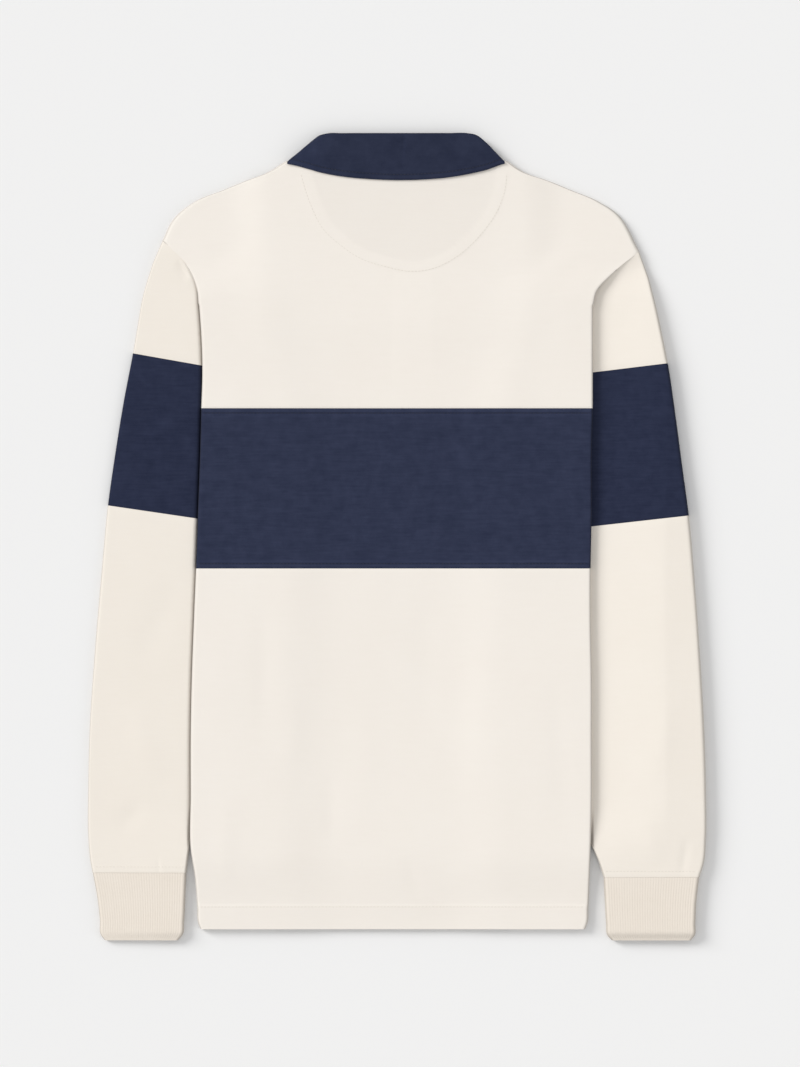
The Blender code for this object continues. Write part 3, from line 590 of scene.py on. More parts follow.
def developed(centre, present):
    """Width, length and area of a sheet's cloth when it is unfolded and pressed flat."""
    after = np.roll(centre, -1, axis=1)[:, :present.shape[1]]
    centre = centre[:, :present.shape[1]]
    step = np.linalg.norm(after - centre, axis=2)
    across = [(step[:-1] * present).sum(axis=1).max(), (step[1:] * present).sum(axis=1).max()]
    down = np.linalg.norm(centre[1:] - centre[:-1], axis=2) * present
    diagonals = np.cross(after[1:] - centre[:-1], after[:-1] - centre[1:])
    area = (np.linalg.norm(diagonals, axis=2) * present).sum() / 2
    return max(across), down.sum(axis=0).max(), area


# ---- body panels ----
BODY_RESTS = {
    "back": ["front_upper", "front_band", "front_lower", "neck_patch"],
    "front": ["sleeve_left_band", "sleeve_left_lower", "sleeve_right_band", "sleeve_right_lower"],
}


def panel_grid(side_name, rows):
    """Centre line of a panel, from flap to flap, with the direction to its outer face."""
    left_x, left_y, right_x, right_y, flap = rows.T[:, :, None]
    radius, reach = FOLD_RADIUS[side_name], FOLD_REACH[side_name]
    inset = FOLD_INSET[side_name] * side_lift(np.minimum(left_y, right_y))
    if side_name == "back":
        inset = inset * np.where(left_y > FOLD_Y + 0.01, OPEN_INSET, 1.0)
    halves = []
    for side, edge, edge_y in ((-1, left_x, left_y), (1, right_x, right_y)):
        start = np.full_like(edge, PLACKET_X + side * SLIT_WIDTH / 2)
        if side_name == "front":
            neck = side * np.interp(edge_y, column(NECKLINE, "y"), column(NECKLINE, "half"))
            start = np.where(edge_y > NECKLINE[0]["y"], neck, start)
        halves.append(mix(start, edge - side * inset, HALF_SHARES))
    x = np.concatenate([halves[0][:, ::-1], halves[1]], axis=1)
    y = left_y + (right_y - left_y) * (x - left_x) / (right_x - left_x)
    height = front_height if side_name == "front" else back_height
    z = height(x, y) + CLOTH / 2
    share = np.arange(1, FLAP_COLUMNS + 1) / FLAP_COLUMNS
    ends = []
    for side, end in ((-1, slice(0, 1)), (1, slice(-1, None))):
        end_x, end_y, centre_z = x[:, end], y[:, end], z[:, end] - radius
        fold = fold_points(end_x, end_y, (side, 0.0), reach, centre_z, radius, [*BEND, math.pi])
        under = stack(end_x - side * flap * share, end_y, centre_z - radius, 0.0, 0.0, -1.0)
        ends.append(np.concatenate([fold, under], axis=1))
    main = stack(x, y, z, 0.0, 0.0, 1.0)
    return np.concatenate([ends[0][:, ::-1], main, ends[1]], axis=1)


def body_panel(side_name, stretch, material):
    """One panel between two rows of the table, with its folded sides."""
    rows = stretch_rows(BODY_EDGES, BODY_WHERE, stretch)
    outer, inner = two_faces(panel_grid(side_name, rows), CLOTH)
    side_count = FOLD_STEPS + FLAP_COLUMNS
    main = slice(side_count, -side_count)
    x, y = outer[:, main, 0], outer[:, main, 1]
    tone = np.ones(outer.shape[:2])
    present = np.ones((outer.shape[0] - 1, outer.shape[1] - 1), bool)
    first, last = BODY_WHERE[stretch["first"]], BODY_WHERE[stretch["last"]]
    unfolded = np.arange(first, last) < BODY_WHERE[FOLD_ROW]
    present[unfolded, :side_count] = False
    present[unfolded, -side_count:] = False
    if side_name == "back":
        outer[:, main, 2] += back_relief(x, y)
        inner[:, main, 2] += soft_form(x, y)
        tone[:, main] = back_tone(x, y)
        turned = unfolded & (rows[:-1, 1] < TURNED_TOP)
        present[turned, side_count - TURNED_STEPS:side_count] = True
        present[turned, -side_count:-side_count + TURNED_STEPS] = True
    else:
        for line in (HEM_WIDTH, BAND_TOP - BAND_STITCH, BAND_BOTTOM + BAND_STITCH):
            inner[:, main, 2] += HIDDEN_STITCH_GROOVE * bell(y - line, STITCH_GROOVE_WIDTH)
        slit = side_count + HALF_COLUMNS - 1
        present[rows[1:, 1] >= SLIT_BOTTOM, slit] = False
    node = "%s_%s" % (side_name, stretch["part"])
    piece = wall_object(node + "_cloth", outer, inner, material, present, tone=tone,
                        rests_on=BODY_RESTS[side_name])
    dress(piece, node)


# ---- collar ----
def collar_section(fold, leaf, stand, low_z, up, columns):
    """Centre line of a folded collar: leaf edge, round the fold, to the stand edge.

    up: 1 where the leaf lies on top, -1 where it lies below.
    """
    radius = (COLLAR_CLOTH + COLLAR_GAP) / 2
    middle_z = low_z + COLLAR_CLOTH / 2 + radius
    fold, leaf, stand = (np.array(point, float) for point in (fold, leaf, stand))
    away = (leaf - fold) / np.hypot(*(leaf - fold))
    centre = fold + away * (radius + COLLAR_CLOTH / 2)
    share = np.linspace(0.0, 1.0, columns)[:, None]
    angles = BEND if up > 0 else BEND[::-1]
    return np.concatenate([
        stack(*mix(leaf, centre, share).T, middle_z + up * radius, 0.0, 0.0, up),
        fold_points(*centre, -away, radius, middle_z, radius, angles),
        stack(*mix(centre, stand, share).T, middle_z - up * radius, 0.0, 0.0, -up),
    ])


def collar_crease(x, y, width):
    """The crease at the middle of the collar, which fades out towards the leaf's edge."""
    return bell(x - CREASE_X - CREASE_LEAN * (y - CREASE_Y), width) * ramp(y, *CREASE_RAMP)


def collar_tone(x, y, leaf_y):
    """A factor for the leaf's colour: pressed edge, painted shade along the stitch line, crease and paler
    left end.
    """
    above = y - leaf_y
    return (1.0 + TONES["leaf_edge"] * ramp(above, 8.5, 6.5)
            # painted shade along the leaf's stitch groove
            + TONES["leaf_stitch_painted_shade"] * bell(above - COLLAR_STITCH, 0.9)
            + TONES["leaf_crease"] * collar_crease(x, y, 1.4)
            + TONES["leaf_left_end"] * ramp(x, -55.0, -90.0))


def collar_relief(x, y, leaf_y):
    """Fine form of the leaf: rolled edge, stitch line, soft waves and the middle crease."""
    above = y - leaf_y
    return (LEAF_FORM["edge"] * ramp(above - COLLAR_STITCH, 1.6, 0.0)
            - LEAF_FORM["stitch"] * bell(above - COLLAR_STITCH, 0.9)
            - LEAF_FORM["rim"] * ramp(above, 1.6, 0.0)
            - LEAF_FORM["crease"] * collar_crease(x, y, 1.6)
            + LEAF_FORM["wave"] * np.sin(0.055 * x + 0.4) * ramp(above, 0.0, 20.0))


def collar_back(material):
    """The collar behind the neck, folded over the neck seam."""
    rows = [(row["x"], 0.0, row["fold"], row["leaf"]) for row in COLLAR_SECTIONS]
    dense, _ = hermite(rows, set(), LEAF_STEP)
    sections = []
    for x, _, fold, leaf in dense:
        fold = max(fold, leaf + COLLAR_EDGE)
        stand = min(BODY_TOP + SEAM_GAP, fold - COLLAR_EDGE + 0.1)
        sections.append(collar_section((x, fold), (x, leaf), (x, stand), COLLAR_BASE, 1.0,
                                       LEAF_COLUMNS))
    outer, inner = two_faces(np.array(sections), COLLAR_CLOTH)
    leaf_y = dense[:, 3][:, None]
    x, y = outer[:, :LEAF_COLUMNS, 0], outer[:, :LEAF_COLUMNS, 1]
    ends = ramp(np.abs(x), COLLAR_CORNER_X, COLLAR_CORNER_X - 6.0)
    outer[:, :LEAF_COLUMNS, 2] += collar_relief(x, y, leaf_y) * ends
    tone = np.ones(outer.shape[:2])
    tone[:, :LEAF_COLUMNS] = collar_tone(x, y, leaf_y)
    piece = wall_object("collar_cloth", outer, inner, material,
                        rests_on=["back_upper"], tone=tone)
    dress(piece, "collar")


def collar_front(side_name, material):
    """One front half of the collar, under the front panel."""
    side = SIDES[side_name]
    opening, corner = PLACKET_X + side * 1.0, side * COLLAR_CORNER_X
    scale = np.array([80.0, 1.0, 80.0, 1.0, 1.0])    # makes the shares comparable with the ys
    given = np.array([tuple(row.values()) for row in COLLAR_FRONT_ROWS]) * scale
    sections = []
    for fold_share, fold_y, leaf_share, leaf_y, stand in hermite(given, set(), HIDDEN_LEAF_STEP)[0] / scale:
        fold = np.array([mix(opening, corner, fold_share), fold_y])
        leaf = np.array([mix(opening, corner, leaf_share), leaf_y])
        share = min(0.94, stand / np.hypot(*(leaf - fold)))
        sections.append(collar_section(fold, leaf, mix(fold, leaf, share), 0.0, -1.0,
                                       HIDDEN_LEAF_COLUMNS))
    outer, inner = two_faces(np.array(sections), COLLAR_CLOTH)
    node = "collar_front_" + side_name
    piece = wall_object(node + "_cloth", outer, inner, material)
    dress(piece, node)


# ---- flat hidden pieces ----
def flat_piece(node, rows, bottom, thickness, material, rests_on):
    """A flat piece between a left and a right edge."""
    left, y, right = hermite([(row["left"], row["y"], row["right"]) for row in rows],
                             set(), FLAT_STEP)[0].T[:, :, None]
    x = mix(left, right, np.linspace(0.0, 1.0, FLAT_COLUMNS))
    piece = wall_object(node + "_cloth", stack(x, y, bottom + thickness), stack(x, y, bottom),
                        material, rests_on=rests_on)
    dress(piece, node)


# ---- sleeves and cuffs ----
def armhole_points(side):
    """The armhole seam, from the fold up to the shoulder.

    It runs just inside the body's edge, and well under it where that is raised.
    """
    start, end = BODY_WHERE[SHOULDER_ROW], BODY_WHERE[FOLD_ROW]
    columns = [0, 1] if side < 0 else [2, 3]
    points = BODY_EDGES[start:end + 1][:, columns] - HEAD_PRESS * np.array([side, -1.0])
    points[:, 0] -= side * (SEAM_GAP + TUCK) * ramp(side_lift(points[:, 1]), 0.5, 0.7)
    return points[::-1]


def sleeve_paths(side_name):
    """Dense rows of a sleeve, and where the given rows are among them."""
    given = np.array([tuple(row.values()) for row in SLEEVE_ROWS[side_name]], float)
    given[:TUCKED_ROWS, 2] -= SIDES[side_name] * TUCK
    return hermite(given, SLEEVE_CORNERS, ROW_STEP)


def path_points(row, side, shares, armhole_share):
    """Points of one sleeve row at shares from its inner to its outer edge."""
    outer, inner, bow = row[0:2], row[2:4], row[4]
    chord = outer - inner
    length = np.hypot(*chord)
    bend = (bow * 4.0 * shares * (1.0 - shares))[:, None]
    aside = np.array([-side * abs(chord[1]), abs(chord[0])]) / length
    points = inner + chord * shares[:, None] + aside * bend
    if armhole_share > 0.0:
        seam = armhole_points(side)
        run = np.concatenate([[0.0], np.cumsum(np.hypot(*(seam[1:] - seam[:-1]).T))])
        curved = stack(*(np.interp(shares * run[-1], run, values) for values in seam.T))
        points = mix(points, curved, armhole_share)
    return points


def sleeve_loft(side_name, x, y, outer_x):
    """How far a sleeve's upper layer stands up, from the body to its outer fold."""
    loft = SLEEVE_LOFTS[side_name]
    edge = np.abs(edge_x(SIDES[side_name], y))
    beside = np.abs(x) - edge - loft["clear"]
    across = np.clip(beside / (np.abs(outer_x) - edge), 0.0, 1.0)
    share = np.clip(beside / loft["ramp"], 0.0, 1.0)
    if loft["inner"] > 0.0:
        rise = np.sqrt(1.0 - (1.0 - share) ** 2)
        height = mix(loft["inner"], loft["outer"], across) * rise
    else:
        height = loft["outer"] * mix(share, ramp(share, 0.0, 1.0), 0.4)
    at_cuff = mix(loft["cuff_inner"], loft["cuff_outer"], across)
    at_cuff = at_cuff * ramp(beside + loft["clear"], 0.0, 3.0)
    return mix(at_cuff, height, ramp(y, *CUFF_RISE))


def ring_grid(paths, layer, gap, shares, lift, least_reach=None):
    """Centre line grid of a flattened tube: under layer, outer fold, upper, inner fold.

    Where the upper layer is lofted, the fold beside it is a tall oval.
    """
    flat_radius = (layer + gap) / 2
    low_z = layer / 2
    lines = []
    for row_index, path in enumerate(paths):
        whole = path(np.array([0.0, 1.0]))
        length = np.hypot(*(whole[1] - whole[0]))
        start_reach = least_reach(row_index) if least_reach else flat_radius
        inner_reach, outer_reach = start_reach + FOLD_SPREAD * lift(row_index, whole)
        first = (inner_reach + layer / 2) / length
        last = 1.0 - (outer_reach + layer / 2) / length
        xy = path(mix(first, last, shares(row_index)))
        top_z = low_z + 2 * flat_radius + lift(row_index, xy)
        folds = []
        for end, tip, reach, angles in ((-1, whole[1], outer_reach, BEND[::-1]),
                                        (0, whole[0], inner_reach, BEND)):
            out = (tip - xy[end]) / np.hypot(*(tip - xy[end]))
            half = (top_z[end] - low_z) / 2
            folds.append(fold_points(*xy[end], out, reach, low_z + half, half, angles))
        under = stack(*xy.T, low_z, 0.0, 0.0, -1.0)
        upper = stack(*xy.T, top_z, 0.0, 0.0, 1.0)[::-1]
        lines.append(np.concatenate([under, folds[0], upper, folds[1]]))
    return np.array(lines)


def upper_columns(count):
    """The columns of a flattened tube's upper layer."""
    return slice(count + FOLD_STEPS - 1, 2 * count + FOLD_STEPS - 1)


def row_line(row, x):
    """The y at x on the straight line through a sleeve row, and the line's slope."""
    slope = (row["outer_y"] - row["inner_y"]) / (row["outer_x"] - row["inner_x"])
    return row["inner_y"] + slope * (x - row["inner_x"]), slope


def sleeve_relief(side_name, x, y):
    """Fine form of a sleeve's upper face: creases, seams and pressed seam allowances."""
    relief = crease_height(SLEEVE_CREASES, x, y) + 0.7 * swell(x * 1.4 + 300.0, y)
    rows, band = SLEEVE_ROWS[side_name], SLEEVE_STRETCHES[1]
    for number, into in ((band["first"], -1.0), (band["last"], 1.0)):
        line_y, slope = row_line(rows[number], x)
        relief += band_seam((y - line_y) / math.hypot(1.0, slope) * into)
    above = y - rows[-1]["outer_y"]
    relief -= CUFF_SEAM_GROOVE * bell(above, 1.2) + CUFF_PAD * bell(above - CUFF_STITCH, 0.9)
    return relief + CUFF_PAD * ramp(above - CUFF_STITCH, 2.0, 0.0)


def sleeve_piece(side_name, stretch, material):
    """One stretch of a sleeve between two seams."""
    side = SIDES[side_name]
    dense, where = sleeve_paths(side_name)
    rows = stretch_rows(dense, where, stretch)
    is_head = stretch["first"] == 0
    blend_rows = where[1]        # the armhole's curve turns into a plain row over these
    paths = []
    for index, row in enumerate(rows):
        armhole = max(0.0, 1.0 - index / blend_rows) if is_head else 0.0
        paths.append(lambda shares, row=row, armhole=armhole: path_points(row, side, shares, armhole))

    def shares(row_index):
        """Even columns, with a close group where the body's edge crosses the sleeve."""
        even = np.linspace(0.0, 1.0, SLEEVE_COLUMNS)
        if is_head and row_index < blend_rows // 8:
            return even
        span = np.linspace(0.0, 1.0, 400)
        along = paths[row_index](span)
        beside = np.abs(along[:, 0]) - np.abs(edge_x(side, along[:, 1]))
        length = np.hypot(*(along[-1] - along[0]))
        edge = span[int(np.argmax(beside > 0.0))]
        close = 1.0 + 5.0 * bell((span - edge) * length / 6.0 - 0.4, 1.0)
        run = np.concatenate([[0.0], np.cumsum((close[1:] + close[:-1]) / 2)])
        warped = np.interp(even, run / run[-1], span)
        return mix(even, warped, ramp(row_index / blend_rows, 0.1, 1.3 / 3.0) if is_head else 1.0)

    def lift(row_index, xy):
        """Height of the upper layer; the head follows the edge of the armhole."""
        x, y = xy.T
        height = sleeve_loft(side_name, x, y, rows[row_index, 0])
        if not is_head:
            return height
        head = np.maximum(back_height(edge_x(side, y) - side * 0.5, y) - PITCH, 0.0)
        under = ramp(y, *UNDER_BODY)
        away = 1.0 - (1.0 - ramp(row_index / blend_rows, 0.0, 1.6)) * (1.0 - under)
        return mix(head, height, away)

    def fold_reach(row_index):
        """The fold is sharper for the first rows at the armhole."""
        at_seam = 1.0 - min(1.0, row_index / 4.0) if is_head else 0.0
        return PITCH / 2 * (1.0 - 0.6 * at_seam)

    outer, inner = two_faces(ring_grid(paths, CLOTH, LAYER_GAP, shares, lift, fold_reach), CLOTH)
    upper = upper_columns(SLEEVE_COLUMNS)
    x, y = outer[:, upper, 0], outer[:, upper, 1]
    beside = np.abs(x) - np.abs(edge_x(side, y))
    outer[:, upper, 2] += sleeve_relief(side_name, x, y) * ramp(beside, 1.0, 7.0)
    node = "sleeve_%s_%s" % (side_name, stretch["part"])
    piece = wall_object(node + "_cloth", outer, inner, material, ring=True)
    dress(piece, node)


def cuff(side_name, material):
    """A flattened rib cuff, its ribs standing on the upper side."""
    given = [(row["outer"], row["y"], row["inner"]) for row in CUFF_ROWS[side_name]]
    dense, _ = hermite(given, set(), CUFF_STEP)
    paths = []
    for outer_x, y, inner_x in dense:
        paths.append(lambda shares, a=inner_x, b=outer_x, y=y: stack(mix(a, b, shares), y))
    shares = np.linspace(0.0, 1.0, RIB_COUNT * RIB_STEPS + 1)
    end_fade = mix(0.5, 1.0, ramp(dense[:, 1], *CUFF_END))
    loft = SLEEVE_LOFTS[side_name]
    thicker = 2 * (CUFF_CLOTH - CLOTH) + CUFF_GAP - LAYER_GAP

    def lift(row_index, xy):
        """Height of the upper layer, less what the rib's own thickness adds."""
        outer_x, _, inner_x = dense[row_index]
        across = np.clip((xy[:, 0] - inner_x) / (outer_x - inner_x), 0.0, 1.0)
        height = mix(loft["cuff_inner"], loft["cuff_outer"], across)
        return (height + CUFF_STAND - thicker) * end_fade[row_index]

    grid = ring_grid(paths, CUFF_CLOTH, CUFF_GAP, lambda row_index: shares, lift)
    outer, inner = two_faces(grid, CUFF_CLOTH)
    ribs = 0.5 - 0.5 * np.cos(2.0 * math.pi * RIB_COUNT * shares[::-1])
    outer[:, upper_columns(len(shares)), 2] += VISIBLE_RIB * ribs
    piece = wall_object("cuff_%s_rib" % side_name, outer, inner, material, ring=True)
    dress(piece, "cuff_" + side_name)


# ---- topstitching ----
STITCH_LENGTH, STITCH_SPACE, THREAD_RADIUS = 2.5, 0.75, 0.21
THREAD_SIDES = 6
BACK_RUN_POINTS, FRONT_RUN_POINTS, SLEEVE_RUN_POINTS = 220, 110, 60
BACK_RUN_END, FRONT_RUN_END, SLEEVE_RUN_END = 3.0, 4.0, 2.0  # short of the edges by this
SLEEVE_RUN_START = 1.5  # and this far out from the body's edge on a sleeve
FRONT_THREAD_RISE = 1.3 * THREAD_RADIUS  # sunk in the groove of the front's stitching
ARC_STITCH_SHIFT = 0.9  # the patch's stitches run this far above its arc
# along the stitch, width as a share of the thread's, and height above the cloth
THREAD_PROFILE = np.array([(-0.5, 0.25, -0.22), (-0.32, 0.85, 0.02), (0.0, 1.0, 0.1),
                           (0.32, 0.85, 0.02), (0.5, 0.25, -0.22)])


def unit(vectors):
    return vectors / np.linalg.norm(vectors, axis=1, keepdims=True)


def stitch_points(run):
    """Points round each stitch of a run: stitch, place along it, and place round it."""
    lengths = np.linalg.norm(run[1:] - run[:-1], axis=1)
    distance = np.concatenate([[0.0], np.cumsum(lengths)])
    at = np.arange(STITCH_LENGTH / 2, distance[-1] - STITCH_LENGTH / 2, STITCH_LENGTH + STITCH_SPACE)
    start, end = (stack(*(np.interp(at + half, distance, values) for values in run.T))
                  for half in (-STITCH_LENGTH / 2, STITCH_LENGTH / 2))
    along = unit(end - start)
    aside = unit(np.cross([0.0, 0.0, 1.0], along))
    above = np.cross(along, aside)
    share, width, rise = THREAD_PROFILE.T[:, :, None]
    centre = mix(start[:, None], end[:, None], share + 0.5) + above[:, None] * rise
    angle = 2.0 * math.pi * np.arange(THREAD_SIDES)[:, None] / THREAD_SIDES
    around = aside[:, None] * np.cos(angle) + above[:, None] * np.sin(angle)
    return centre[:, :, None] + THREAD_RADIUS * width[:, :, None] * around[:, None]


def stitches(name, runs, material):
    """Short threads along each run of surface points, their ends sunk in the cloth."""
    points = np.concatenate([stitch_points(run).reshape(-1, 3) for run in runs])
    first = np.arange(THREAD_SIDES)
    after = np.roll(first, -1)
    band = np.stack([first, after, after + THREAD_SIDES, first + THREAD_SIDES], axis=1)
    last = (len(THREAD_PROFILE) - 1) * THREAD_SIDES
    faces_of_one = [face for low in range(0, last, THREAD_SIDES) for face in band + low]
    faces_of_one += [first[::-1], first + last]
    faces = [(start + face).tolist() for start in range(0, len(points), last + THREAD_SIDES)
             for face in faces_of_one]
    piece = make_object(name, points, faces, material, angle=80.0)
    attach(piece, "root")


def back_run(xs, ys):
    """A run of points on the back's outer face."""
    return stack(xs, ys, back_height(xs, ys) + CLOTH + back_relief(xs, ys))


def level_run(y):
    """A run straight across the back at one height, stopping at the folds."""
    left, right = float(edge_x(-1, y)), float(edge_x(1, y))
    xs = np.linspace(left + BACK_RUN_END, right - BACK_RUN_END, BACK_RUN_POINTS)
    return back_run(xs, np.full_like(xs, y))


def front_runs(y):
    """Runs across the two halves of the front's outer face, which lies on the surface."""
    runs = []
    for side in SIDES.values():
        end = float(edge_x(side, y)) - side * FRONT_RUN_END
        xs = np.linspace(side * 1.0, end, FRONT_RUN_POINTS)
        runs.append(stack(xs, y, front_height(xs, np.full_like(xs, y)) + FRONT_THREAD_RISE))
    return runs


def collar_run():
    """A run along the collar's leaf, just above its edge."""
    leaf = hermite([(row["x"], row["leaf"]) for row in COLLAR_SECTIONS], set(), LEAF_STEP)[0][2:-2]
    xs, ys = leaf[:, 0], leaf[:, 1] + COLLAR_STITCH
    top = COLLAR_BASE + 2 * COLLAR_CLOTH + COLLAR_GAP
    return stack(xs, ys, top + collar_relief(xs, ys, leaf[:, 1]))


def sleeve_run(side_name, row_number, inward):
    """A run across the visible part of a sleeve, parallel to one of its rows."""
    side, row = SIDES[side_name], SLEEVE_ROWS[side_name][row_number]
    start_x = float(edge_x(side, row["inner_y"])) + side * SLEEVE_RUN_START
    if abs(row["inner_x"]) > abs(start_x):
        start_x = row["inner_x"] + side * SLEEVE_RUN_END
    xs = np.linspace(start_x, row["outer_x"] - side * SLEEVE_RUN_END, SLEEVE_RUN_POINTS)
    ys = row_line(row, xs)[0] + inward
    loft = sleeve_loft(side_name, xs, ys, row["outer_x"])
    return stack(xs, ys, PITCH + CLOTH + loft + sleeve_relief(side_name, xs, ys))


# ---- materials ----
FOLD_PAINTED_SHADE = 0.62  # painted shade on cloth that faces sideways at folds and edges, as a factor on its colour
FOLD_FACING = (0.7, 0.995)  # upward part of the normal where the painted shade is full, on a fold, and where it ends, on flat cloth
# Colours between a dark and a light one; mottle: fineness of the clouds; rough: roughness;
# loop: width of a knitted loop in metres; streaks: share of the streaks in the colour
KNITS = table(
    "key name dark light mottle rough loop streaks sheen",
    ("cream", "cream_jersey_knit", (0.908, 0.852, 0.784), (0.928, 0.878, 0.814),
     14.0, 0.92, 0.00085, 0.35, 0.0),
    ("sleeve", "cream_sleeve_knit", (0.888, 0.826, 0.744), (0.908, 0.851, 0.774),
     14.0, 0.92, 0.00085, 0.35, 0.0),
    ("rib", "cream_rib_knit", (0.832, 0.756, 0.666), (0.862, 0.79, 0.704),
     40.0, 0.94, 0.00085, 0.35, 0.0),
    ("navy", "navy_jersey_knit", (0.017, 0.023, 0.052), (0.034, 0.042, 0.084),
     90.0, 0.88, 0.00085, 0.4, 0.04),
    ("sleeve_navy", "navy_sleeve_knit", (0.012, 0.017, 0.042), (0.026, 0.033, 0.070),
     90.0, 0.88, 0.00085, 0.4, 0.04),
    ("collar", "navy_collar_twill", (0.013, 0.018, 0.042), (0.027, 0.034, 0.068),
     60.0, 0.85, 0.0006, 0.15, 0.04),
)
CREAM_THREAD, NAVY_THREAD = (0.88, 0.82, 0.74), (0.011, 0.014, 0.028)
THREAD_SHADE = 0.78
BUTTON_DARK, BUTTON_LIGHT = (0.70, 0.65, 0.56), (0.82, 0.78, 0.70)


def new_material(name):
    material = bpy.data.materials.new(name)
    material.use_nodes = True
    tree = material.node_tree
    return material, tree, tree.nodes["Principled BSDF"]


def fill(tree, node, **inputs):
    """Sets inputs of a node, or of a new one, or joins them to other nodes' outputs.

    An underscore in an input's name stands for a space.
    """
    if isinstance(node, str):
        node = tree.nodes.new(node)
    for name, value in inputs.items():
        socket = node.inputs[name.replace("_", " ")]
        if isinstance(value, bpy.types.NodeSocket):
            tree.links.new(value, socket)
        else:
            socket.default_value = value
    return node


def add_noise(tree, vector, scale, detail, roughness=0.55):
    noise = fill(tree, "ShaderNodeTexNoise", Vector=vector, Scale=scale,
                 Detail=detail, Roughness=roughness)
    return noise.outputs["Fac"]


def mapped(tree, scale=(1.0, 1.0, 1.0)):
    """Object coordinates, stretched."""
    coordinates = tree.nodes.new("ShaderNodeTexCoord")
    mapping = fill(tree, "ShaderNodeMapping", Vector=coordinates.outputs["Object"],
                   Scale=scale)
    return mapping.outputs["Vector"]


def math_node(tree, operation, first, second=0.0):
    node = tree.nodes.new("ShaderNodeMath")
    node.operation = operation
    for socket, value in zip(node.inputs, (first, second)):
        if isinstance(value, bpy.types.NodeSocket):
            tree.links.new(value, socket)
        else:
            socket.default_value = value
    return node.outputs[0]


def weighted(tree, *terms):
    """The sum of pairs of an output and its weight."""
    parts = [math_node(tree, "MULTIPLY", output, weight) for output, weight in terms]
    total = parts[0]
    for part in parts[1:]:
        total = math_node(tree, "ADD", total, part)
    return total


def colour_mix(tree, factor, dark, light):
    node = fill(tree, "ShaderNodeValToRGB", Fac=factor)
    for element, position, colour in zip(node.color_ramp.elements, (0.3, 0.7), (dark, light)):
        element.position = position
        element.color = (*colour, 1.0)
    return node.outputs["Color"]


def tone_and_fold_shade(tree):
    """The tone of each point of the cloth, times a painted shade on folds and edges that face sideways."""
    attribute = tree.nodes.new("ShaderNodeAttribute")
    attribute.attribute_name = "tone"
    facing = tree.nodes.new("ShaderNodeSeparateXYZ")
    tree.links.new(tree.nodes.new("ShaderNodeTexCoord").outputs["Normal"], facing.inputs[0])
    # painted shade: the colour darkens as the normal turns sideways
    fold = fill(tree, "ShaderNodeMapRange", From_Min=FOLD_FACING[0],
                From_Max=FOLD_FACING[1], To_Min=FOLD_PAINTED_SHADE,
                Value=math_node(tree, "ABSOLUTE", facing.outputs["Z"]))
    return math_node(tree, "MULTIPLY", attribute.outputs["Fac"], fold.outputs["Result"])


def jersey(knit):
    """Knitted cotton: fine loops in columns and rows, uneven yarn and soft mottling."""
    material, tree, shader = new_material(knit["name"])
    plain = mapped(tree)
    mottle = add_noise(tree, plain, knit["mottle"], 6.0, 0.6)
    streak = add_noise(tree, mapped(tree, (6.0, 60.0, 6.0)), 9.0, 3.0, 0.5)
    fine = add_noise(tree, plain, 1400.0, 3.0, 0.6)
    blend = weighted(tree, (mottle, 1.0 - knit["streaks"]), (streak, knit["streaks"]))
    blend = weighted(tree, (blend, 0.8), (fine, 0.2))
    toned = tree.nodes.new("ShaderNodeVectorMath")
    toned.operation = "MULTIPLY"
    tree.links.new(colour_mix(tree, blend, knit["dark"], knit["light"]), toned.inputs[0])
    # the colour times each point's tone and the painted shade on sideways folds
    tree.links.new(tone_and_fold_shade(tree), toned.inputs[1])
    place = tree.nodes.new("ShaderNodeSeparateXYZ")
    tree.links.new(plain, place.inputs[0])
    wave = 2.0 * math.pi / knit["loop"]
    columns = math_node(tree, "SINE", math_node(tree, "MULTIPLY", place.outputs["X"], wave))
    loops = math_node(tree, "SINE", weighted(tree, (place.outputs["Y"], wave * 1.3), (columns, 1.1)))
    height = weighted(tree, (columns, 0.5), (loops, 0.5), (fine, 1.6), (streak, 1.0))
    bump = fill(tree, "ShaderNodeBump", Strength=0.55, Distance=0.00006,
                Height=height)
    fill(tree, shader, Base_Color=toned.outputs[0], Normal=bump.outputs["Normal"],
         Roughness=knit["rough"], Specular_IOR_Level=0.15, Sheen_Weight=knit["sheen"],
         Sheen_Roughness=0.5)
    return material


def plain_material(name, scale, detail, dark, light, roughness, specular=0.5):
    """A plain surface with fine clouds between two colours."""
    material, tree, shader = new_material(name)
    clouds = add_noise(tree, mapped(tree), scale, detail)
    fill(tree, shader, Base_Color=colour_mix(tree, clouds, dark, light), Roughness=roughness,
         Specular_IOR_Level=specular)
    return material


def thread(name, colour):
    """Twisted sewing thread."""
    dark = tuple(part * THREAD_SHADE for part in colour)
    return plain_material(name, 2600.0, 2.0, dark, colour, 0.6)


# ---- the shirt ----
def build_shirt():
    """Every cut piece of the shirt, and the buttons' material."""
    knits = {knit["key"]: jersey(knit) for knit in KNITS}
    button = plain_material("button_plastic", 220.0, 3.0, BUTTON_DARK, BUTTON_LIGHT, 0.32)
    for side_name in ("back", "front"):
        for stretch in BODY_STRETCHES:
            body_panel(side_name, stretch, knits[stretch["cloth"]])
    flat_piece("neck_patch", PATCH_ROWS, UNDER_NECK + PITCH, PATCH_CLOTH, knits["cream"],
               ["front_upper"])
    half = PLACKET_WIDTH / 2
    placket = table("y left right", (PLACKET_TOP, PLACKET_X - half, PLACKET_X + half),
                    (PLACKET_BOTTOM, PLACKET_X - half, PLACKET_X + half))
    flat_piece("placket", placket, BUTTON_THICK + LAYER_GAP, PLACKET_THICK, knits["cream"],
               ["button_1", "button_2", "button_3"])
    collar_back(knits["collar"])
    for side_name in SIDES:
        collar_front(side_name, knits["collar"])
        for stretch in SLEEVE_STRETCHES:
            sleeve_piece(side_name, stretch, knits[stretch["cloth"]])
        cuff(side_name, knits["rib"])
    for number in (1, 2, 3):
        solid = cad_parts["button_%d" % number].data
        solid.materials.clear()
        solid.materials.append(button)


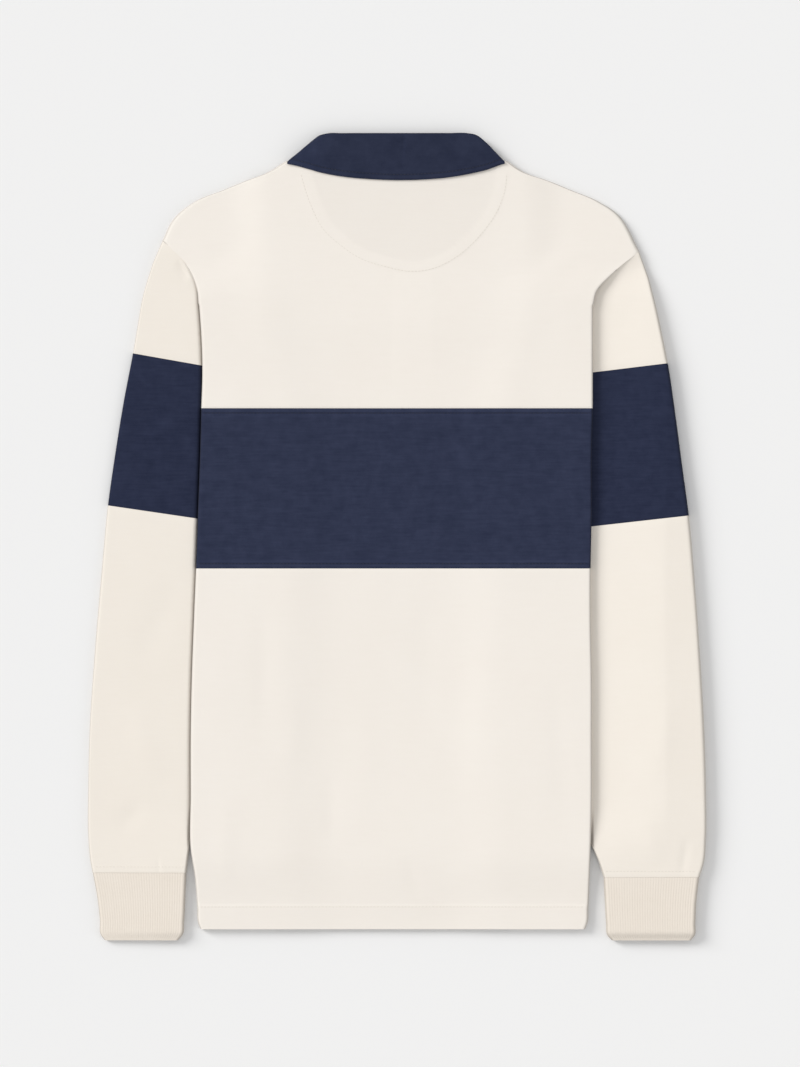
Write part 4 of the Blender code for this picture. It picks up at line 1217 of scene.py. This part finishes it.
def sew():
    """The topstitching of both faces."""
    band_lines = (BAND_TOP - BAND_STITCH, BAND_BOTTOM + BAND_STITCH)
    arc_x, arc_y = PATCH_ARC[4:-4].T
    cream_runs = [level_run(HEM_WIDTH), back_run(arc_x, arc_y + ARC_STITCH_SHIFT)]
    navy_runs = [level_run(line) for line in band_lines] + [collar_run()]
    for side_name in SIDES:
        navy_runs.append(sleeve_run(side_name, SLEEVE_STRETCHES[1]["first"], -BAND_STITCH))
        navy_runs.append(sleeve_run(side_name, SLEEVE_STRETCHES[1]["last"], BAND_STITCH))
        cream_runs.append(sleeve_run(side_name, SLEEVE_STRETCHES[2]["last"], CUFF_STITCH))
    cream_runs += front_runs(HEM_WIDTH)
    navy_runs += front_runs(band_lines[0]) + front_runs(band_lines[1])
    stitches("cream_topstitching", cream_runs, thread("cream_thread", CREAM_THREAD))
    stitches("navy_topstitching", navy_runs, thread("navy_thread", NAVY_THREAD))


# ---- floor, light and camera; metres ----
FLOOR_SIZE, FLOOR_Z = 8.0, -0.0002
FLOOR_COLOUR = 0.90
VIEW_HEIGHT = 1067 * 0.94 * MM  # rows of the photograph times the size of a pixel
VIEW_CENTRE = (2.8 * MM, 3.1 * MM)
CAMERA_HEIGHT = 4.0
SENSOR = 36.0
MEASURED_HEIGHT = 6.0 * MM  # the visible cloth lies about this high
ROOM_LIGHT = 0.610
# height: degrees above the floor; turn: degrees from the left side; width: degrees across
LAMPS = table("name strength height turn width", ("key", 2.46, 24.0, -30.0, 26.0),
              ("fill", 0.44, 20.0, 160.0, 40.0))
LAMP_COLOUR = (1.0, 0.995, 0.985)


def make_floor():
    """Plain pale paper under the shirt."""
    bpy.ops.mesh.primitive_plane_add(size=FLOOR_SIZE, location=(0.0, 0.0, FLOOR_Z))
    floor = bpy.context.object
    floor.name = "floor"
    paper = plain_material("floor_paper", 300.0, 2.0, (FLOOR_COLOUR * 0.998,) * 3,
                           (FLOOR_COLOUR,) * 3, 0.9, specular=0.1)
    floor.data.materials.append(paper)


def make_light():
    """A white room, a broad, low light from the upper left and a weak one opposite."""
    world = bpy.data.worlds.new("studio")
    bpy.context.scene.world = world
    world.use_nodes = True
    fill(world.node_tree, world.node_tree.nodes["Background"], Color=(1.0, 1.0, 1.0, 1.0),
         Strength=ROOM_LIGHT)
    for row in LAMPS:
        light = bpy.data.lights.new(row["name"], "SUN")
        light.energy = row["strength"]
        light.angle = math.radians(row["width"])
        light.color = LAMP_COLOUR
        show(row["name"], light).rotation_euler = (0.0, math.radians(90.0 - row["height"]),
                                                   math.radians(180.0 + row["turn"]))
    bpy.context.scene.view_settings.view_transform = "Standard"


def make_camera():
    """Straight above the shirt, framed as the photograph."""
    data = bpy.data.cameras.new("camera")
    data.sensor_width = SENSOR
    data.lens = SENSOR * (CAMERA_HEIGHT - MEASURED_HEIGHT) / VIEW_HEIGHT
    data.clip_end = 100.0
    camera = show("camera", data)
    camera.location = (*VIEW_CENTRE, CAMERA_HEIGHT)
    bpy.context.scene.camera = camera


build_shirt()
sew()
make_floor()
make_light()
make_camera()
